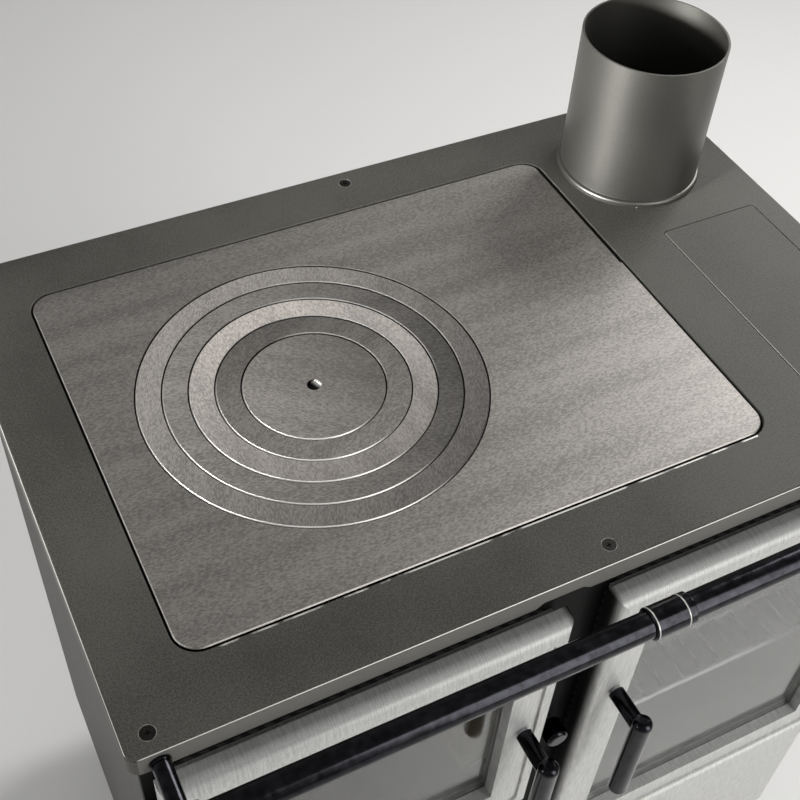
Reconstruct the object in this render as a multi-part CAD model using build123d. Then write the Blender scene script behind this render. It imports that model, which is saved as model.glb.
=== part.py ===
"""Wood-burning cookstove: firebox on the left, oven on the right, ringed hotplate on top.

Millimetres, +Z up, +X to the right of someone facing the stove, front at -Y.
The origin lies on the floor, under the middle of the top.
"""

from build123d import *

import os

# Overall
TOP_WIDTH = 780.0
TOP_DEPTH = 518.0
TOP_HEIGHT = 850.0

# Top frame: a flanged steel plate
TOP_PLATE = 5.0
TOP_LIP_HEIGHT = 20.0
TOP_LIP_WALL = 4.0
TOP_CORNER_R = 10.0
TOP_EDGE_R = 2.5
OPENING_CHAMFER = 0.8
LIP_NOTCH_FROM_LEFT = 317.0
LIP_NOTCH_LENGTH = 49.0
LIP_NOTCH_DEPTH = 5.0
LIP_NOTCH_SLOPE = 7.0

# Hotplate and its cook rings
PLATE_THICK = 8.0
PLATE_CORNER_R = 20.0
PLATE_FROM_LEFT = 60.0
PLATE_FROM_RIGHT = 198.0
PLATE_FROM_FRONT = 62.0
PLATE_FROM_BACK = 59.0
PLATE_GAP = 2.0
PLATE_JOG = 1.5
PLATE_JOG_LENGTH = 169.0
SEAT_LEDGE = 12.0
SEAT_RIM = 14.0
SEAT_FLOOR = 6.0
RING_FROM_LEFT = 41.0
RING_FROM_FRONT = 50.5
RING_FROM_BACK = 46.5
RING_WIDTH = 22.1
RING_COUNT = 4
RING_GAP = 1.2
RING_LEDGE = 6.0
RING_LEDGE_PLAY = 1.0
RING_SEAT_GAP = 0.15
RING_EDGE_CHAMFER = 0.9
LIFT_HOLE_R = 6.3
LIFT_HOLE_FLOOR = 1.5

# Soot hatch, flush in the right of the top
HATCH_WIDTH = 108.0
HATCH_LENGTH = 247.0
HATCH_FROM_RIGHT = 28.0
HATCH_CORNER_R = 4.0
HATCH_GAP = 1.0
HATCH_LEDGE = 8.0
HATCH_LEDGE_PLATE = 4.0

# Flue collar
FLUE_FROM_RIGHT = 107.5
FLUE_FROM_BACK = 101.6
FLUE_R = 70.0
FLUE_WALL = 2.0
FLUE_HEIGHT = 150.0
FLUE_BELOW = 12.0
FLUE_BEAD_R = 3.0
FLUE_FIT = 0.3

# Casing
SIDE_INSET = 8.0
FRONT_INSET = 12.0
BACK_INSET = 8.0
SHEET = 2.0
PANEL_FLANGE = 15.0
FRONT_PLATE = 10.0
PLINTH_HEIGHT = 90.0
PLINTH_INSET = 35.0
BASE_PLATE = 3.0
SHELF_PLATE = 3.0
REAR_RAIL_DEPTH = 12.0
REAR_RAIL_HEIGHT = 20.0

# Doors and drawer fronts
MULLION_FROM_LEFT = 368.0
MULLION_GAP = 38.0
FRONT_SIDE_GAP = 15.0
DOOR_DROP = 38.0
DOOR_THICK = 26.0
DOOR_SHELL = 19.0
DOOR_STEP = 8.0
DOOR_STANDOFF = 3.0
DOOR_ROLL_R = 12.0
DOOR_BORDER = 45.0
DOOR_LAP = 18.0
FIELD_INSET = 16.0
FIELD_DEPTH = 2.5
FIELD_CORNER_R = 10.0
FIRE_DOOR_BOTTOM = 500.0
FRONT_ROW_GAP = 8.0
WOOD_FRONT_BOTTOM = 100.0
WOOD_FRONT_TOP = 320.0
WOOD_FRONT_GAP = 10.0
DRAWER_FRONT_THICK = 22.0
DRAWER_FRONT_R = 9.0
DRAWER_LAP = 15.0
DRAWER_FRONT_SKIN = 5.0
DRAWER_FRONT_RIM = 12.0
DRAWER_FRONT_RIB = 24.0

# Glass and seals
GLASS_THICK = 4.0
GLASS_SETBACK = 14.0
GLASS_REBATE = 6.0
GLASS_PLAY = 0.3
RETAINER_THICK = 4.0
SEAL_INSET = 8.0
SEAL_WIDTH = 9.0
SEAL_CORNER_R = 16.0
SEAL_GAP = 0.3

# Hinges
HINGE_OUT = 8.0
HINGE_SET = 16.0
KNUCKLE_R = 7.0
LUG_HEIGHT = 14.0
LUG_GAP = 0.4
LUG_FROM_END = 40.0
PIN_R = 3.0
PIN_PLAY = 0.05
PIN_SEAT = 0.02
PIN_HEAD_R = 4.5
PIN_HEAD = 2.0

# Lever handles and latches
SPINDLE_INSET = 28.0
SPINDLE_R = 5.0
SPINDLE_PLAY = 0.05
HANDLE_HEIGHT = 658.0
HANDLE_STANDOFF = 39.0
HANDLE_BASE_GAP = 0.5
HANDLE_POST_R = 7.5
HANDLE_SOCKET_END = 2.0
GRIP_R = 9.0
GRIP_LENGTH = 115.0
GRIP_ABOVE = 14.0
GRIP_END_R = 6.0
TONGUE_LENGTH = 30.0
TONGUE_HALF = 6.0
TONGUE_THICK = 6.0
TONGUE_GAP = 1.0
LATCH_SLOT_PLAY = 3.0

# Firebox
FIREBOX_WALL = 4.0
FIREBOX_BACK = 150.0
FIREBOX_SMOKE_GAP = 44.0
ASH_FLOOR = 3.0
GRATE_FRAME_THICK = 12.0
GRATE_WIDTH = 210.0
GRATE_LENGTH = 250.0
GRATE_THICK = 10.0
GRATE_BEARING = 15.0
GRATE_SLOTS = 7
GRATE_SLOT_WIDTH = 11.0
GRATE_SLOT_LENGTH = 205.0
GRATE_SLOT_END_R = 5.4
BRICK_THICK = 28.0
BRICK_HEIGHT = 262.0
BRICK_FRONT_GAP = 16.0

# Oven
OVEN_BACK = 190.0
RUNNER_SIZE = 6.0
RACK_RISE = 122.0
TRAY_RISE = 252.0
RACK_WIRE_R = 3.0
RACK_BAR_R = 2.1
RACK_BARS = 13
RACK_PLAY = 2.0
TRAY_DEPTH = 30.0
TRAY_WALL = 2.0
TRAY_RIM = 10.0
OVEN_FRONT_CLEAR = 14.0

# Drawers
DRAWER_WALL = 2.0
DRAWER_RUN = 0.3
DRAWER_SIDE_PLAY = 5.0
ASH_PAN_HEIGHT = 118.0
ASH_PAN_END_CLEAR = 12.0
WOOD_BOX_HEIGHT = 150.0
WOOD_BOX_BACK_CLEAR = 30.0
DRAWER_RUNNER_WIDTH = 40.0
DRAWER_RUNNER_HEIGHT = 8.0
BAR_R = 6.0
BAR_END_R = 2.4
BAR_STANDOFF = 32.0
BAR_POST_R = 5.0
BAR_POST_INSET = 14.0
ASH_BAR_LENGTH = 140.0
WOOD_BAR_LENGTH = 300.0
ASH_BAR_DROP = 36.0
WOOD_BAR_DROP = 60.0

# Primary air slide on the ash drawer front
AIR_SLOTS = 5
AIR_SLOT_WIDTH = 9.0
AIR_SLOT_HEIGHT = 30.0
AIR_SLOT_PITCH = 22.0
AIR_SLIDE_THICK = 3.0
AIR_SLIDE_EDGE = 8.0
AIR_SLIDE_RUN = 0.3
AIR_GUIDE_LIP = 4.0
AIR_FROM_BOTTOM = 44.0
AIR_KNOB_R = 6.0
AIR_KNOB_LENGTH = 14.0
AIR_KNOB_END_R = 1.8

# Bypass damper on the mullion
DAMPER_HEIGHT = 600.0
DAMPER_ROD_R = 4.0
DAMPER_ROD_PLAY = 0.1
DAMPER_ROD_BACK = 195.0
DAMPER_KNOB_R = 11.0
DAMPER_KNOB_LENGTH = 20.0
DAMPER_KNOB_END_R = 3.8
DAMPER_KNOB_GAP = 6.0
DAMPER_PLATE_SIZE = 56.0
DAMPER_PLATE_THICK = 3.0
DAMPER_GUIDE_Y = 100.0
DAMPER_GUIDE_THICK = 6.0
DAMPER_GUIDE_HALF = 15.0
DAMPER_GUIDE_REACH = 47.0

# Front rail
RAIL_R = 11.0
RAIL_WALL = 2.0
RAIL_DROP = 12.0
RAIL_STANDOFF = 50.5
RAIL_BRACKET_INSET = 22.0
RAIL_HEAD_R = 14.0
RAIL_HEAD_LENGTH = 28.0
RAIL_HEAD_CAP = 4.0
RAIL_FIT = 0.1
RAIL_POST_R = 7.0
RAIL_FLANGE_R = 8.0
RAIL_FLANGE = 3.0
RAIL_BOLT_R = 3.0
RAIL_BOLT_HEAD_R = 4.8
RAIL_BOLT_HEAD = 4.0
RAIL_BOLT_GRIP = 16.0
SLEEVE_R = 13.0
SLEEVE_LENGTH = 37.0
SLEEVE_OFF_CENTRE = 11.5
SLEEVE_CHAMFER = 1.0

# Countersunk screws that hold the top
SCREW_R = 3.0
SCREW_HEAD_R = 5.7
SCREW_LENGTH = 18.0
SCREW_PLAY = 0.3
SCREW_SINK = 0.3
SCREW_END_INSET = 20.0
SCREW_RECESS_R = 2.2
SCREW_RECESS = 1.8

# Working planes and edges
top_x = TOP_WIDTH / 2
top_y = TOP_DEPTH / 2
z_top = TOP_HEIGHT
z_under = z_top - TOP_PLATE
side_x = top_x - SIDE_INSET
inner_x = side_x - SHEET
front_y = -top_y + FRONT_INSET
front_back_y = front_y + FRONT_PLATE
back_y = top_y - BACK_INSET
inner_back_y = back_y - SHEET
z_base = PLINTH_HEIGHT + BASE_PLATE
z_shelf = WOOD_FRONT_TOP + SHELF_PLATE

plate_x0 = -top_x + PLATE_FROM_LEFT
plate_y0 = -top_y + PLATE_FROM_FRONT
plate_w = TOP_WIDTH - PLATE_FROM_LEFT - PLATE_FROM_RIGHT
plate_d = TOP_DEPTH - PLATE_FROM_FRONT - PLATE_FROM_BACK
plate_x = plate_x0 + plate_w / 2
plate_y = plate_y0 + plate_d / 2
z_plate = z_top - PLATE_THICK
z_seat = z_plate - SEAT_FLOOR
ring_r = (plate_d - RING_FROM_FRONT - RING_FROM_BACK) / 2
ring_x = plate_x0 + RING_FROM_LEFT + ring_r
ring_y = plate_y0 + RING_FROM_FRONT + ring_r
ring_edges = [ring_r - RING_WIDTH * i for i in range(RING_COUNT + 1)]
z_ring_step = z_plate + PLATE_THICK / 2

hatch_x = top_x - HATCH_FROM_RIGHT - HATCH_WIDTH / 2
hatch_y = plate_y0 + HATCH_LENGTH / 2
flue_x = top_x - FLUE_FROM_RIGHT
flue_y = top_y - FLUE_FROM_BACK

mullion_x = -top_x + MULLION_FROM_LEFT
row_x0 = -top_x + FRONT_SIDE_GAP
row_x1 = top_x - FRONT_SIDE_GAP
door_back_y = front_y - DOOR_STANDOFF
door_front_y = door_back_y - DOOR_THICK
door_shell_y = door_front_y + DOOR_SHELL
drawer_front_y = door_back_y - DRAWER_FRONT_THICK
z_door_top = z_top - DOOR_DROP
z_lower_row = WOOD_FRONT_TOP + WOOD_FRONT_GAP

# Each front: x0, x1, z0, z1
FIRE_DOOR = (row_x0, mullion_x - MULLION_GAP / 2, FIRE_DOOR_BOTTOM, z_door_top)
OVEN_DOOR = (mullion_x + MULLION_GAP / 2, row_x1, z_lower_row, z_door_top)
ASH_FRONT = (FIRE_DOOR[0], FIRE_DOOR[1], z_lower_row, FIRE_DOOR_BOTTOM - FRONT_ROW_GAP)
WOOD_FRONT = (row_x0, row_x1, WOOD_FRONT_BOTTOM, WOOD_FRONT_TOP)


def inset(rect, lap):
    """A front's rectangle drawn in by lap on every side."""
    x0, x1, z0, z1 = rect
    return (x0 + lap, x1 - lap, z0 + lap, z1 - lap)


fire_hole = inset(FIRE_DOOR, DOOR_LAP)
oven_hole = inset(OVEN_DOOR, DOOR_LAP)
ash_hole = (fire_hole[0], fire_hole[1], ASH_FRONT[2] + DRAWER_LAP, ASH_FRONT[3] - DRAWER_LAP)
wood_hole = inset(WOOD_FRONT, DRAWER_LAP)

fire_spindle_x = FIRE_DOOR[1] - SPINDLE_INSET
oven_spindle_x = OVEN_DOOR[0] + SPINDLE_INSET
tongue_y = front_back_y + TONGUE_GAP
grip_y = door_front_y - HANDLE_STANDOFF
spindle_y = grip_y + GRIP_R + HANDLE_SOCKET_END
hinge_y = door_back_y - HINGE_SET
fire_hinge_x = FIRE_DOOR[0] - HINGE_OUT
oven_hinge_x = OVEN_DOOR[1] + HINGE_OUT

rail_y = -top_y - RAIL_STANDOFF
rail_z = z_top - RAIL_DROP
rail_bracket_x = top_x - RAIL_BRACKET_INSET
screw_front_y = (front_y + front_back_y) / 2
screw_back_y = inner_back_y - SHEET - REAR_RAIL_DEPTH / 2
screw_xs = (-top_x + SCREW_END_INSET, 0.0, top_x - SCREW_END_INSET)
screw_places = [(x, y) for x in screw_xs for y in (screw_front_y, screw_back_y)]

z_ash_floor = ash_hole[2] - ASH_FLOOR
z_grate_frame = fire_hole[2] - GRATE_THICK - GRATE_FRAME_THICK
z_grate = z_grate_frame + GRATE_FRAME_THICK
z_rack = oven_hole[2] + RACK_RISE
z_tray = oven_hole[2] + TRAY_RISE
air_x = (ASH_FRONT[0] + ASH_FRONT[1]) / 2
air_z = ASH_FRONT[2] + AIR_FROM_BOTTOM


def block(x0, x1, y0, y1, z0, z1):
    """A box given by its six faces."""
    centre = Pos((x0 + x1) / 2, (y0 + y1) / 2, (z0 + z1) / 2)
    return centre * Box(x1 - x0, y1 - y0, z1 - z0)


def slab(cx, cy, width, depth, corner, z0, z1):
    """An upright prism on a rectangle with round corners."""
    sketch = Pos(cx, cy, z0) * RectangleRounded(width, depth, corner)
    return extrude(sketch, amount=z1 - z0, dir=(0, 0, 1))


def disc(cx, cy, radius, z0, z1):
    """An upright cylinder."""
    return Pos(cx, cy, (z0 + z1) / 2) * Cylinder(radius, z1 - z0)


def rod_y(x, z, radius, y0, y1):
    """A round bar from front to back."""
    return Pos(x, (y0 + y1) / 2, z) * Rot(90, 0, 0) * Cylinder(radius, y1 - y0)


def rod_x(y, z, radius, x0, x1):
    """A round bar from left to right."""
    return Pos((x0 + x1) / 2, y, z) * Rot(0, 90, 0) * Cylinder(radius, x1 - x0)


def screw_cut():
    """What a countersunk screw takes out of the top plate: its hole and its head's cone."""
    hole = SCREW_R + SCREW_PLAY
    cone = SCREW_HEAD_R + SCREW_PLAY
    depth = cone - hole
    shank = Pos(0, 0, -TOP_PLATE / 2) * Cylinder(hole, TOP_PLATE * 2)
    return shank + Pos(0, 0, -depth / 2) * Cone(hole, cone, depth)


# Top


def make_top_frame():
    outer = slab(0, 0, TOP_WIDTH, TOP_DEPTH, TOP_CORNER_R, z_top - TOP_LIP_HEIGHT, z_top)
    outer = fillet(outer.faces().sort_by(Axis.Z)[-1].edges(), TOP_EDGE_R)
    hollow_w = TOP_WIDTH - 2 * TOP_LIP_WALL
    hollow_d = TOP_DEPTH - 2 * TOP_LIP_WALL
    hollow_r = TOP_CORNER_R - TOP_LIP_WALL
    frame = outer - slab(0, 0, hollow_w, hollow_d, hollow_r, z_top - TOP_LIP_HEIGHT, z_under)
    opening_w = plate_w + 2 * PLATE_GAP
    opening_d = plate_d + 2 * PLATE_GAP
    opening = slab(plate_x, plate_y, opening_w, opening_d, PLATE_CORNER_R + PLATE_GAP, z_under, z_top)
    frame -= opening
    rim = [e for e in frame.faces().sort_by(Axis.Z)[-1].inner_wires()[0].edges()]
    frame = chamfer(rim, OPENING_CHAMFER)
    frame -= slab(hatch_x, hatch_y, HATCH_WIDTH + 2 * HATCH_GAP, HATCH_LENGTH + 2 * HATCH_GAP,
                  HATCH_CORNER_R + HATCH_GAP, z_under, z_top)
    frame -= disc(flue_x, flue_y, FLUE_R + FLUE_FIT, z_under, z_top)
    for x, y in screw_places:
        frame -= Pos(x, y, z_top) * screw_cut()
    for side in (-1, 1):
        x = side * rail_bracket_x
        frame -= rod_y(x, rail_z, RAIL_BOLT_R + SCREW_PLAY, -top_y, -top_y + TOP_LIP_WALL)
    return split_top(frame - make_lip_notch())


def split_top(frame):
    """The four plates that the top is welded from: a right deck, and front, back and left strips."""
    z0 = z_top - TOP_LIP_HEIGHT
    x_deck = plate_x + plate_w / 2 - PLATE_CORNER_R
    y_front = plate_y - plate_d / 2 - PLATE_GAP
    y_back = plate_y + plate_d / 2 + PLATE_GAP
    deck = block(x_deck, top_x, -top_y, top_y, z0, z_top)
    front = block(-top_x, x_deck, -top_y, y_front, z0, z_top)
    back = block(-top_x, x_deck, y_back, top_y, z0, z_top)
    left = block(-top_x, x_deck, y_front, y_back, z0, z_top)
    return [frame & zone for zone in (deck, front, back, left)]


def make_lip_notch():
    """A shallow cut in the front lip's lower edge, over the firebox door's latch side."""
    x0 = -top_x + LIP_NOTCH_FROM_LEFT
    x1 = x0 + LIP_NOTCH_LENGTH
    z0 = z_top - TOP_LIP_HEIGHT
    z1 = z0 + LIP_NOTCH_DEPTH
    outline = [(x0, z0), (x1, z0), (x1 - LIP_NOTCH_SLOPE, z1), (x0 + LIP_NOTCH_SLOPE, z1)]
    face = make_face(Polyline(*[(x, -top_y, z) for x, z in outline], close=True))
    return extrude(face, amount=TOP_LIP_WALL, dir=(0, 1, 0))


def make_hotplate_seat():
    """The rebated frame under the opening that the hotplate lies in."""
    opening_w = plate_w + 2 * PLATE_GAP
    opening_d = plate_d + 2 * PLATE_GAP
    opening_r = PLATE_CORNER_R + PLATE_GAP
    seat = slab(plate_x, plate_y, opening_w + 2 * SEAT_RIM, opening_d + 2 * SEAT_RIM,
                opening_r + SEAT_RIM, z_seat, z_under)
    seat -= slab(plate_x, plate_y, opening_w, opening_d, opening_r, z_plate, z_under)
    return seat - slab(plate_x, plate_y, plate_w - 2 * SEAT_LEDGE, plate_d - 2 * SEAT_LEDGE,
                       PLATE_CORNER_R, z_seat, z_plate)


def ring_hole(edge):
    """The stepped round hole that leaves a ledge for the next piece in."""
    upper = disc(ring_x, ring_y, edge + RING_GAP / 2, z_ring_step, z_top)
    return upper + disc(ring_x, ring_y, edge - RING_LEDGE, z_plate, z_ring_step)


def ring_body(edge):
    """A stepped disc that hangs by its upper half on the ledge around it."""
    upper = disc(ring_x, ring_y, edge - RING_GAP / 2, z_ring_step + RING_SEAT_GAP, z_top)
    upper = chamfer(upper.faces().sort_by(Axis.Z)[-1].edges(), RING_EDGE_CHAMFER)
    lower_r = edge - RING_LEDGE - RING_LEDGE_PLAY
    return upper + disc(ring_x, ring_y, lower_r, z_plate, z_ring_step + RING_SEAT_GAP)


def make_hotplate():
    plate = slab(plate_x, plate_y, plate_w, plate_d, PLATE_CORNER_R, z_plate, z_top)
    right = plate_x0 + plate_w
    back = plate_y0 + plate_d
    plate -= block(right - PLATE_JOG, right, back - PLATE_JOG_LENGTH, back, z_plate, z_top)
    plate = chamfer(plate.faces().sort_by(Axis.Z)[-1].edges(), RING_EDGE_CHAMFER)
    return plate - ring_hole(ring_edges[0])


def make_cook_ring(index):
    return ring_body(ring_edges[index]) - ring_hole(ring_edges[index + 1])


def make_centre_disc():
    lid = ring_body(ring_edges[-1])
    return lid - disc(ring_x, ring_y, LIFT_HOLE_R, z_plate + LIFT_HOLE_FLOOR, z_top)


def make_soot_hatch():
    return slab(hatch_x, hatch_y, HATCH_WIDTH, HATCH_LENGTH, HATCH_CORNER_R, z_under, z_top)


def make_hatch_ledge():
    grow = 2 * (HATCH_GAP + HATCH_LEDGE)
    ledge = slab(hatch_x, hatch_y, HATCH_WIDTH + grow, HATCH_LENGTH + grow,
                 HATCH_CORNER_R + grow / 2, z_under - HATCH_LEDGE_PLATE, z_under)
    return ledge - slab(hatch_x, hatch_y, HATCH_WIDTH - 2 * HATCH_LEDGE, HATCH_LENGTH - 2 * HATCH_LEDGE,
                        HATCH_CORNER_R, z_under - HATCH_LEDGE_PLATE, z_under)


def make_flue_collar():
    tube = disc(flue_x, flue_y, FLUE_R, z_under - FLUE_BELOW, z_top + FLUE_HEIGHT)
    bead = Pos(flue_x, flue_y, z_top + FLUE_BEAD_R) * Torus(FLUE_R, FLUE_BEAD_R)
    foot = disc(flue_x, flue_y, FLUE_R + FLUE_BEAD_R, z_top, z_top + FLUE_BEAD_R)
    bore = disc(flue_x, flue_y, FLUE_R - FLUE_WALL, z_under - FLUE_BELOW, z_top + FLUE_HEIGHT)
    return tube + bead + foot - bore


def make_top_screw(x, y):
    head = SCREW_HEAD_R - SCREW_R
    z_head = z_top - SCREW_SINK
    shank = disc(x, y, SCREW_R - PIN_SEAT, z_head - SCREW_LENGTH, z_head - head)
    cone = Pos(x, y, z_head - head / 2) * Cone(SCREW_R - PIN_SEAT, SCREW_HEAD_R, head)
    screw = shank + cone
    slot = Box(2 * SCREW_RECESS_R, SCREW_RECESS / 2, 2 * SCREW_RECESS)
    for turn in (0, 90):
        screw -= Pos(x, y, z_head) * Rot(0, 0, turn) * slot
    return screw


# Casing


def make_plinth():
    x = side_x - PLINTH_INSET
    y0 = front_y + PLINTH_INSET
    y1 = back_y - PLINTH_INSET
    tray = block(-x, x, y0, y1, 0, PLINTH_HEIGHT)
    return tray - block(-x + SHEET, x - SHEET, y0 + SHEET, y1 - SHEET, BASE_PLATE, PLINTH_HEIGHT)


def make_base_plate():
    return block(-side_x, side_x, front_y, back_y, PLINTH_HEIGHT, z_base)


def make_side_panel(side):
    """A flat panel with a flange turned in at its front and back edges."""
    wall = block(inner_x, side_x, front_back_y, inner_back_y, z_base, z_under)
    for y in (front_back_y, inner_back_y - SHEET):
        wall += block(inner_x - PANEL_FLANGE, inner_x, y, y + SHEET, z_base, z_under)
    return wall if side > 0 else mirror(wall, about=Plane.YZ)


def make_back_panel():
    return block(-side_x, side_x, inner_back_y, back_y, z_base, z_under)


def make_rear_rail():
    rail = block(-inner_x, inner_x, screw_back_y - REAR_RAIL_DEPTH / 2, screw_back_y + REAR_RAIL_DEPTH / 2,
                 z_under - REAR_RAIL_HEIGHT, z_under)
    for x in screw_xs:
        rail -= disc(x, screw_back_y, SCREW_R, z_under - REAR_RAIL_HEIGHT, z_under)
    return rail


def make_front_frame():
    frame = block(-side_x, side_x, front_y, front_back_y, z_base, z_under)
    for x0, x1, z0, z1 in (fire_hole, oven_hole, ash_hole, wood_hole):
        frame -= block(x0, x1, front_y, front_back_y, z0, z1)
    for x in screw_xs:
        frame -= disc(x, screw_front_y, SCREW_R, z_under - SCREW_LENGTH, z_under)
    return frame - rod_y(mullion_x, DAMPER_HEIGHT, DAMPER_ROD_R + DAMPER_ROD_PLAY, front_y, front_back_y)


def make_mid_shelf():
    return block(-inner_x, inner_x, front_back_y + SHEET, inner_back_y - SHEET, WOOD_FRONT_TOP, z_shelf)


# Doors


def rolled_front(rect, y_front, y_back, roll):
    """A front whose face rolls over to its four sides, with mitred corners."""
    x0, x1, z0, z1 = rect
    body = block(x0, x1, y_front, y_back, z0, z1)
    return fillet(body.faces().sort_by(Axis.Y)[0].edges(), roll)


def drawer_front(rect):
    """A rolled front, hollow behind, with a rib up its middle that the drawer is fixed to."""
    front = rolled_front(rect, drawer_front_y, door_back_y, DRAWER_FRONT_R)
    x0, x1, z0, z1 = inset(rect, DRAWER_FRONT_RIM)
    middle = (x0 + x1) / 2
    y0 = drawer_front_y + DRAWER_FRONT_SKIN
    front -= block(x0, middle - DRAWER_FRONT_RIB / 2, y0, door_back_y, z0, z1)
    return front - block(middle + DRAWER_FRONT_RIB / 2, x1, y0, door_back_y, z0, z1)


def make_field(rect):
    """The shallow sunk field inside a door's rolled rim."""
    x0, x1, z0, z1 = inset(rect, FIELD_INSET)
    field = block(x0, x1, door_front_y, door_front_y + FIELD_DEPTH, z0, z1)
    return fillet(field.edges().filter_by(Axis.Y), FIELD_CORNER_R)


def lug_levels(rect):
    """The heights of a door's two frame lugs."""
    return (rect[2] + LUG_FROM_END, rect[3] - LUG_FROM_END - 2 * LUG_HEIGHT - LUG_GAP)


def make_door(rect, hinge_x, spindle_x):
    """A rolled shell with a narrower frame behind it, which carries the seal."""
    glass_y = door_front_y + GLASS_SETBACK
    door = rolled_front(rect, door_front_y, door_shell_y, DOOR_ROLL_R) - make_field(rect)
    x0, x1, z0, z1 = inset(rect, DOOR_STEP)
    door += block(x0, x1, door_shell_y, door_back_y, z0, z1)
    x0, x1, z0, z1 = inset(rect, DOOR_BORDER)
    door -= block(x0, x1, door_front_y, door_back_y, z0, z1)
    x0, x1, z0, z1 = inset(rect, DOOR_BORDER - GLASS_REBATE)
    door -= block(x0, x1, glass_y, door_back_y, z0, z1)
    side = 1 if hinge_x > 0 else -1
    root_x = hinge_x - side * (HINGE_OUT + DOOR_ROLL_R)
    for z in lug_levels(rect):
        low = z + LUG_HEIGHT + LUG_GAP
        high = low + LUG_HEIGHT
        door += disc(hinge_x, hinge_y, KNUCKLE_R, low, high)
        door += block(min(hinge_x, root_x), max(hinge_x, root_x),
                      hinge_y - KNUCKLE_R, hinge_y + KNUCKLE_R, low, high)
        door -= disc(hinge_x, hinge_y, PIN_R + PIN_PLAY, low, high)
    return door - rod_y(spindle_x, HANDLE_HEIGHT, SPINDLE_R + SPINDLE_PLAY, door_front_y, door_back_y)


def make_frame_lugs(rect, hinge_x):
    """Two lugs on the front frame, each just under a lug of the door."""
    lugs = []
    for z in lug_levels(rect):
        lug = disc(hinge_x, hinge_y, KNUCKLE_R, z, z + LUG_HEIGHT)
        lug += block(hinge_x - KNUCKLE_R, hinge_x + KNUCKLE_R, hinge_y, front_y, z, z + LUG_HEIGHT)
        lugs.append(lug - disc(hinge_x, hinge_y, PIN_R + PIN_SEAT, z, z + LUG_HEIGHT))
    return lugs


def make_hinge_pins(rect, hinge_x):
    pins = []
    for z in lug_levels(rect):
        top = z + 2 * LUG_HEIGHT + 2 * LUG_GAP
        pin = disc(hinge_x, hinge_y, PIN_R, z, top)
        pins.append(pin + disc(hinge_x, hinge_y, PIN_HEAD_R, top, top + PIN_HEAD))
    return pins


def make_glass(rect):
    x0, x1, z0, z1 = inset(rect, DOOR_BORDER - GLASS_REBATE + GLASS_PLAY)
    y0 = door_front_y + GLASS_SETBACK
    return block(x0, x1, y0, y0 + GLASS_THICK, z0, z1)


def make_retainer(rect):
    """The frame that holds the glass in its rebate."""
    x0, x1, z0, z1 = inset(rect, DOOR_BORDER - GLASS_REBATE)
    y0 = door_front_y + GLASS_SETBACK + GLASS_THICK
    ring = block(x0, x1, y0, y0 + RETAINER_THICK, z0, z1)
    x0, x1, z0, z1 = inset(rect, DOOR_BORDER)
    return ring - block(x0, x1, y0, y0 + RETAINER_THICK, z0, z1)


def make_seal(rect):
    """A rope seal on the door's back that meets the front frame."""
    x0, x1, z0, z1 = inset(rect, SEAL_INSET)
    ring = block(x0, x1, door_back_y, front_y - SEAL_GAP, z0, z1)
    ring = fillet(ring.edges().filter_by(Axis.Y), SEAL_CORNER_R)
    x0, x1, z0, z1 = inset(rect, SEAL_INSET + SEAL_WIDTH)
    hole = block(x0, x1, door_back_y, front_y - SEAL_GAP, z0, z1)
    return ring - fillet(hole.edges().filter_by(Axis.Y), SEAL_CORNER_R - SEAL_WIDTH)


def make_handle(spindle_x):
    """A hanging lever: a post off the door and a round grip."""
    base_y = door_front_y - HANDLE_BASE_GAP
    grip = disc(spindle_x, grip_y, GRIP_R, HANDLE_HEIGHT - GRIP_LENGTH, HANDLE_HEIGHT + GRIP_ABOVE)
    grip = fillet(grip.edges().filter_by(GeomType.CIRCLE), GRIP_END_R)
    post = rod_y(spindle_x, HANDLE_HEIGHT, HANDLE_POST_R, grip_y, base_y)
    return grip + post - rod_y(spindle_x, HANDLE_HEIGHT, SPINDLE_R + PIN_SEAT, spindle_y, base_y)


def make_latch(spindle_x):
    """The spindle through the door and the tongue behind the front frame."""
    spindle = rod_y(spindle_x, HANDLE_HEIGHT, SPINDLE_R, spindle_y, tongue_y + TONGUE_THICK)
    tongue = block(spindle_x - TONGUE_HALF, spindle_x + TONGUE_HALF, tongue_y, tongue_y + TONGUE_THICK,
                   HANDLE_HEIGHT, HANDLE_HEIGHT + TONGUE_LENGTH)
    hub = rod_y(spindle_x, HANDLE_HEIGHT, TONGUE_HALF, tongue_y, tongue_y + TONGUE_THICK)
    return spindle + tongue + hub


def latch_slot(x0, x1):
    """Room in a liner's wall for the tongue to turn behind the front frame."""
    low = HANDLE_HEIGHT - TONGUE_HALF - LATCH_SLOT_PLAY
    high = HANDLE_HEIGHT + TONGUE_LENGTH + LATCH_SLOT_PLAY
    return block(x0, x1, front_back_y, tongue_y + TONGUE_THICK + LATCH_SLOT_PLAY, low, high)


# Firebox


def make_firebox_shell():
    """Left, back and right walls; the right one stops low so that smoke passes over the oven."""
    x0, x1 = fire_hole[0], fire_hole[1]
    shell = block(x0 - FIREBOX_WALL, x1 + FIREBOX_WALL, front_back_y, FIREBOX_BACK, z_shelf, z_seat)
    shell -= block(x0, x1, front_back_y, FIREBOX_BACK - FIREBOX_WALL, z_shelf, z_seat)
    shell -= block(x1, x1 + FIREBOX_WALL, front_back_y, FIREBOX_BACK, z_seat - FIREBOX_SMOKE_GAP, z_seat)
    return shell - latch_slot(x1, x1 + FIREBOX_WALL)


def firebox_plate(z0, z1):
    """A plate that fills the firebox from wall to wall."""
    return block(fire_hole[0], fire_hole[1], front_back_y, FIREBOX_BACK - FIREBOX_WALL, z0, z1)


def grate_centre():
    """The middle of the fire bed, between the bricks."""
    y0 = front_back_y + BRICK_FRONT_GAP
    y1 = FIREBOX_BACK - FIREBOX_WALL - BRICK_THICK
    return ((fire_hole[0] + fire_hole[1]) / 2, (y0 + y1) / 2)


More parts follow.
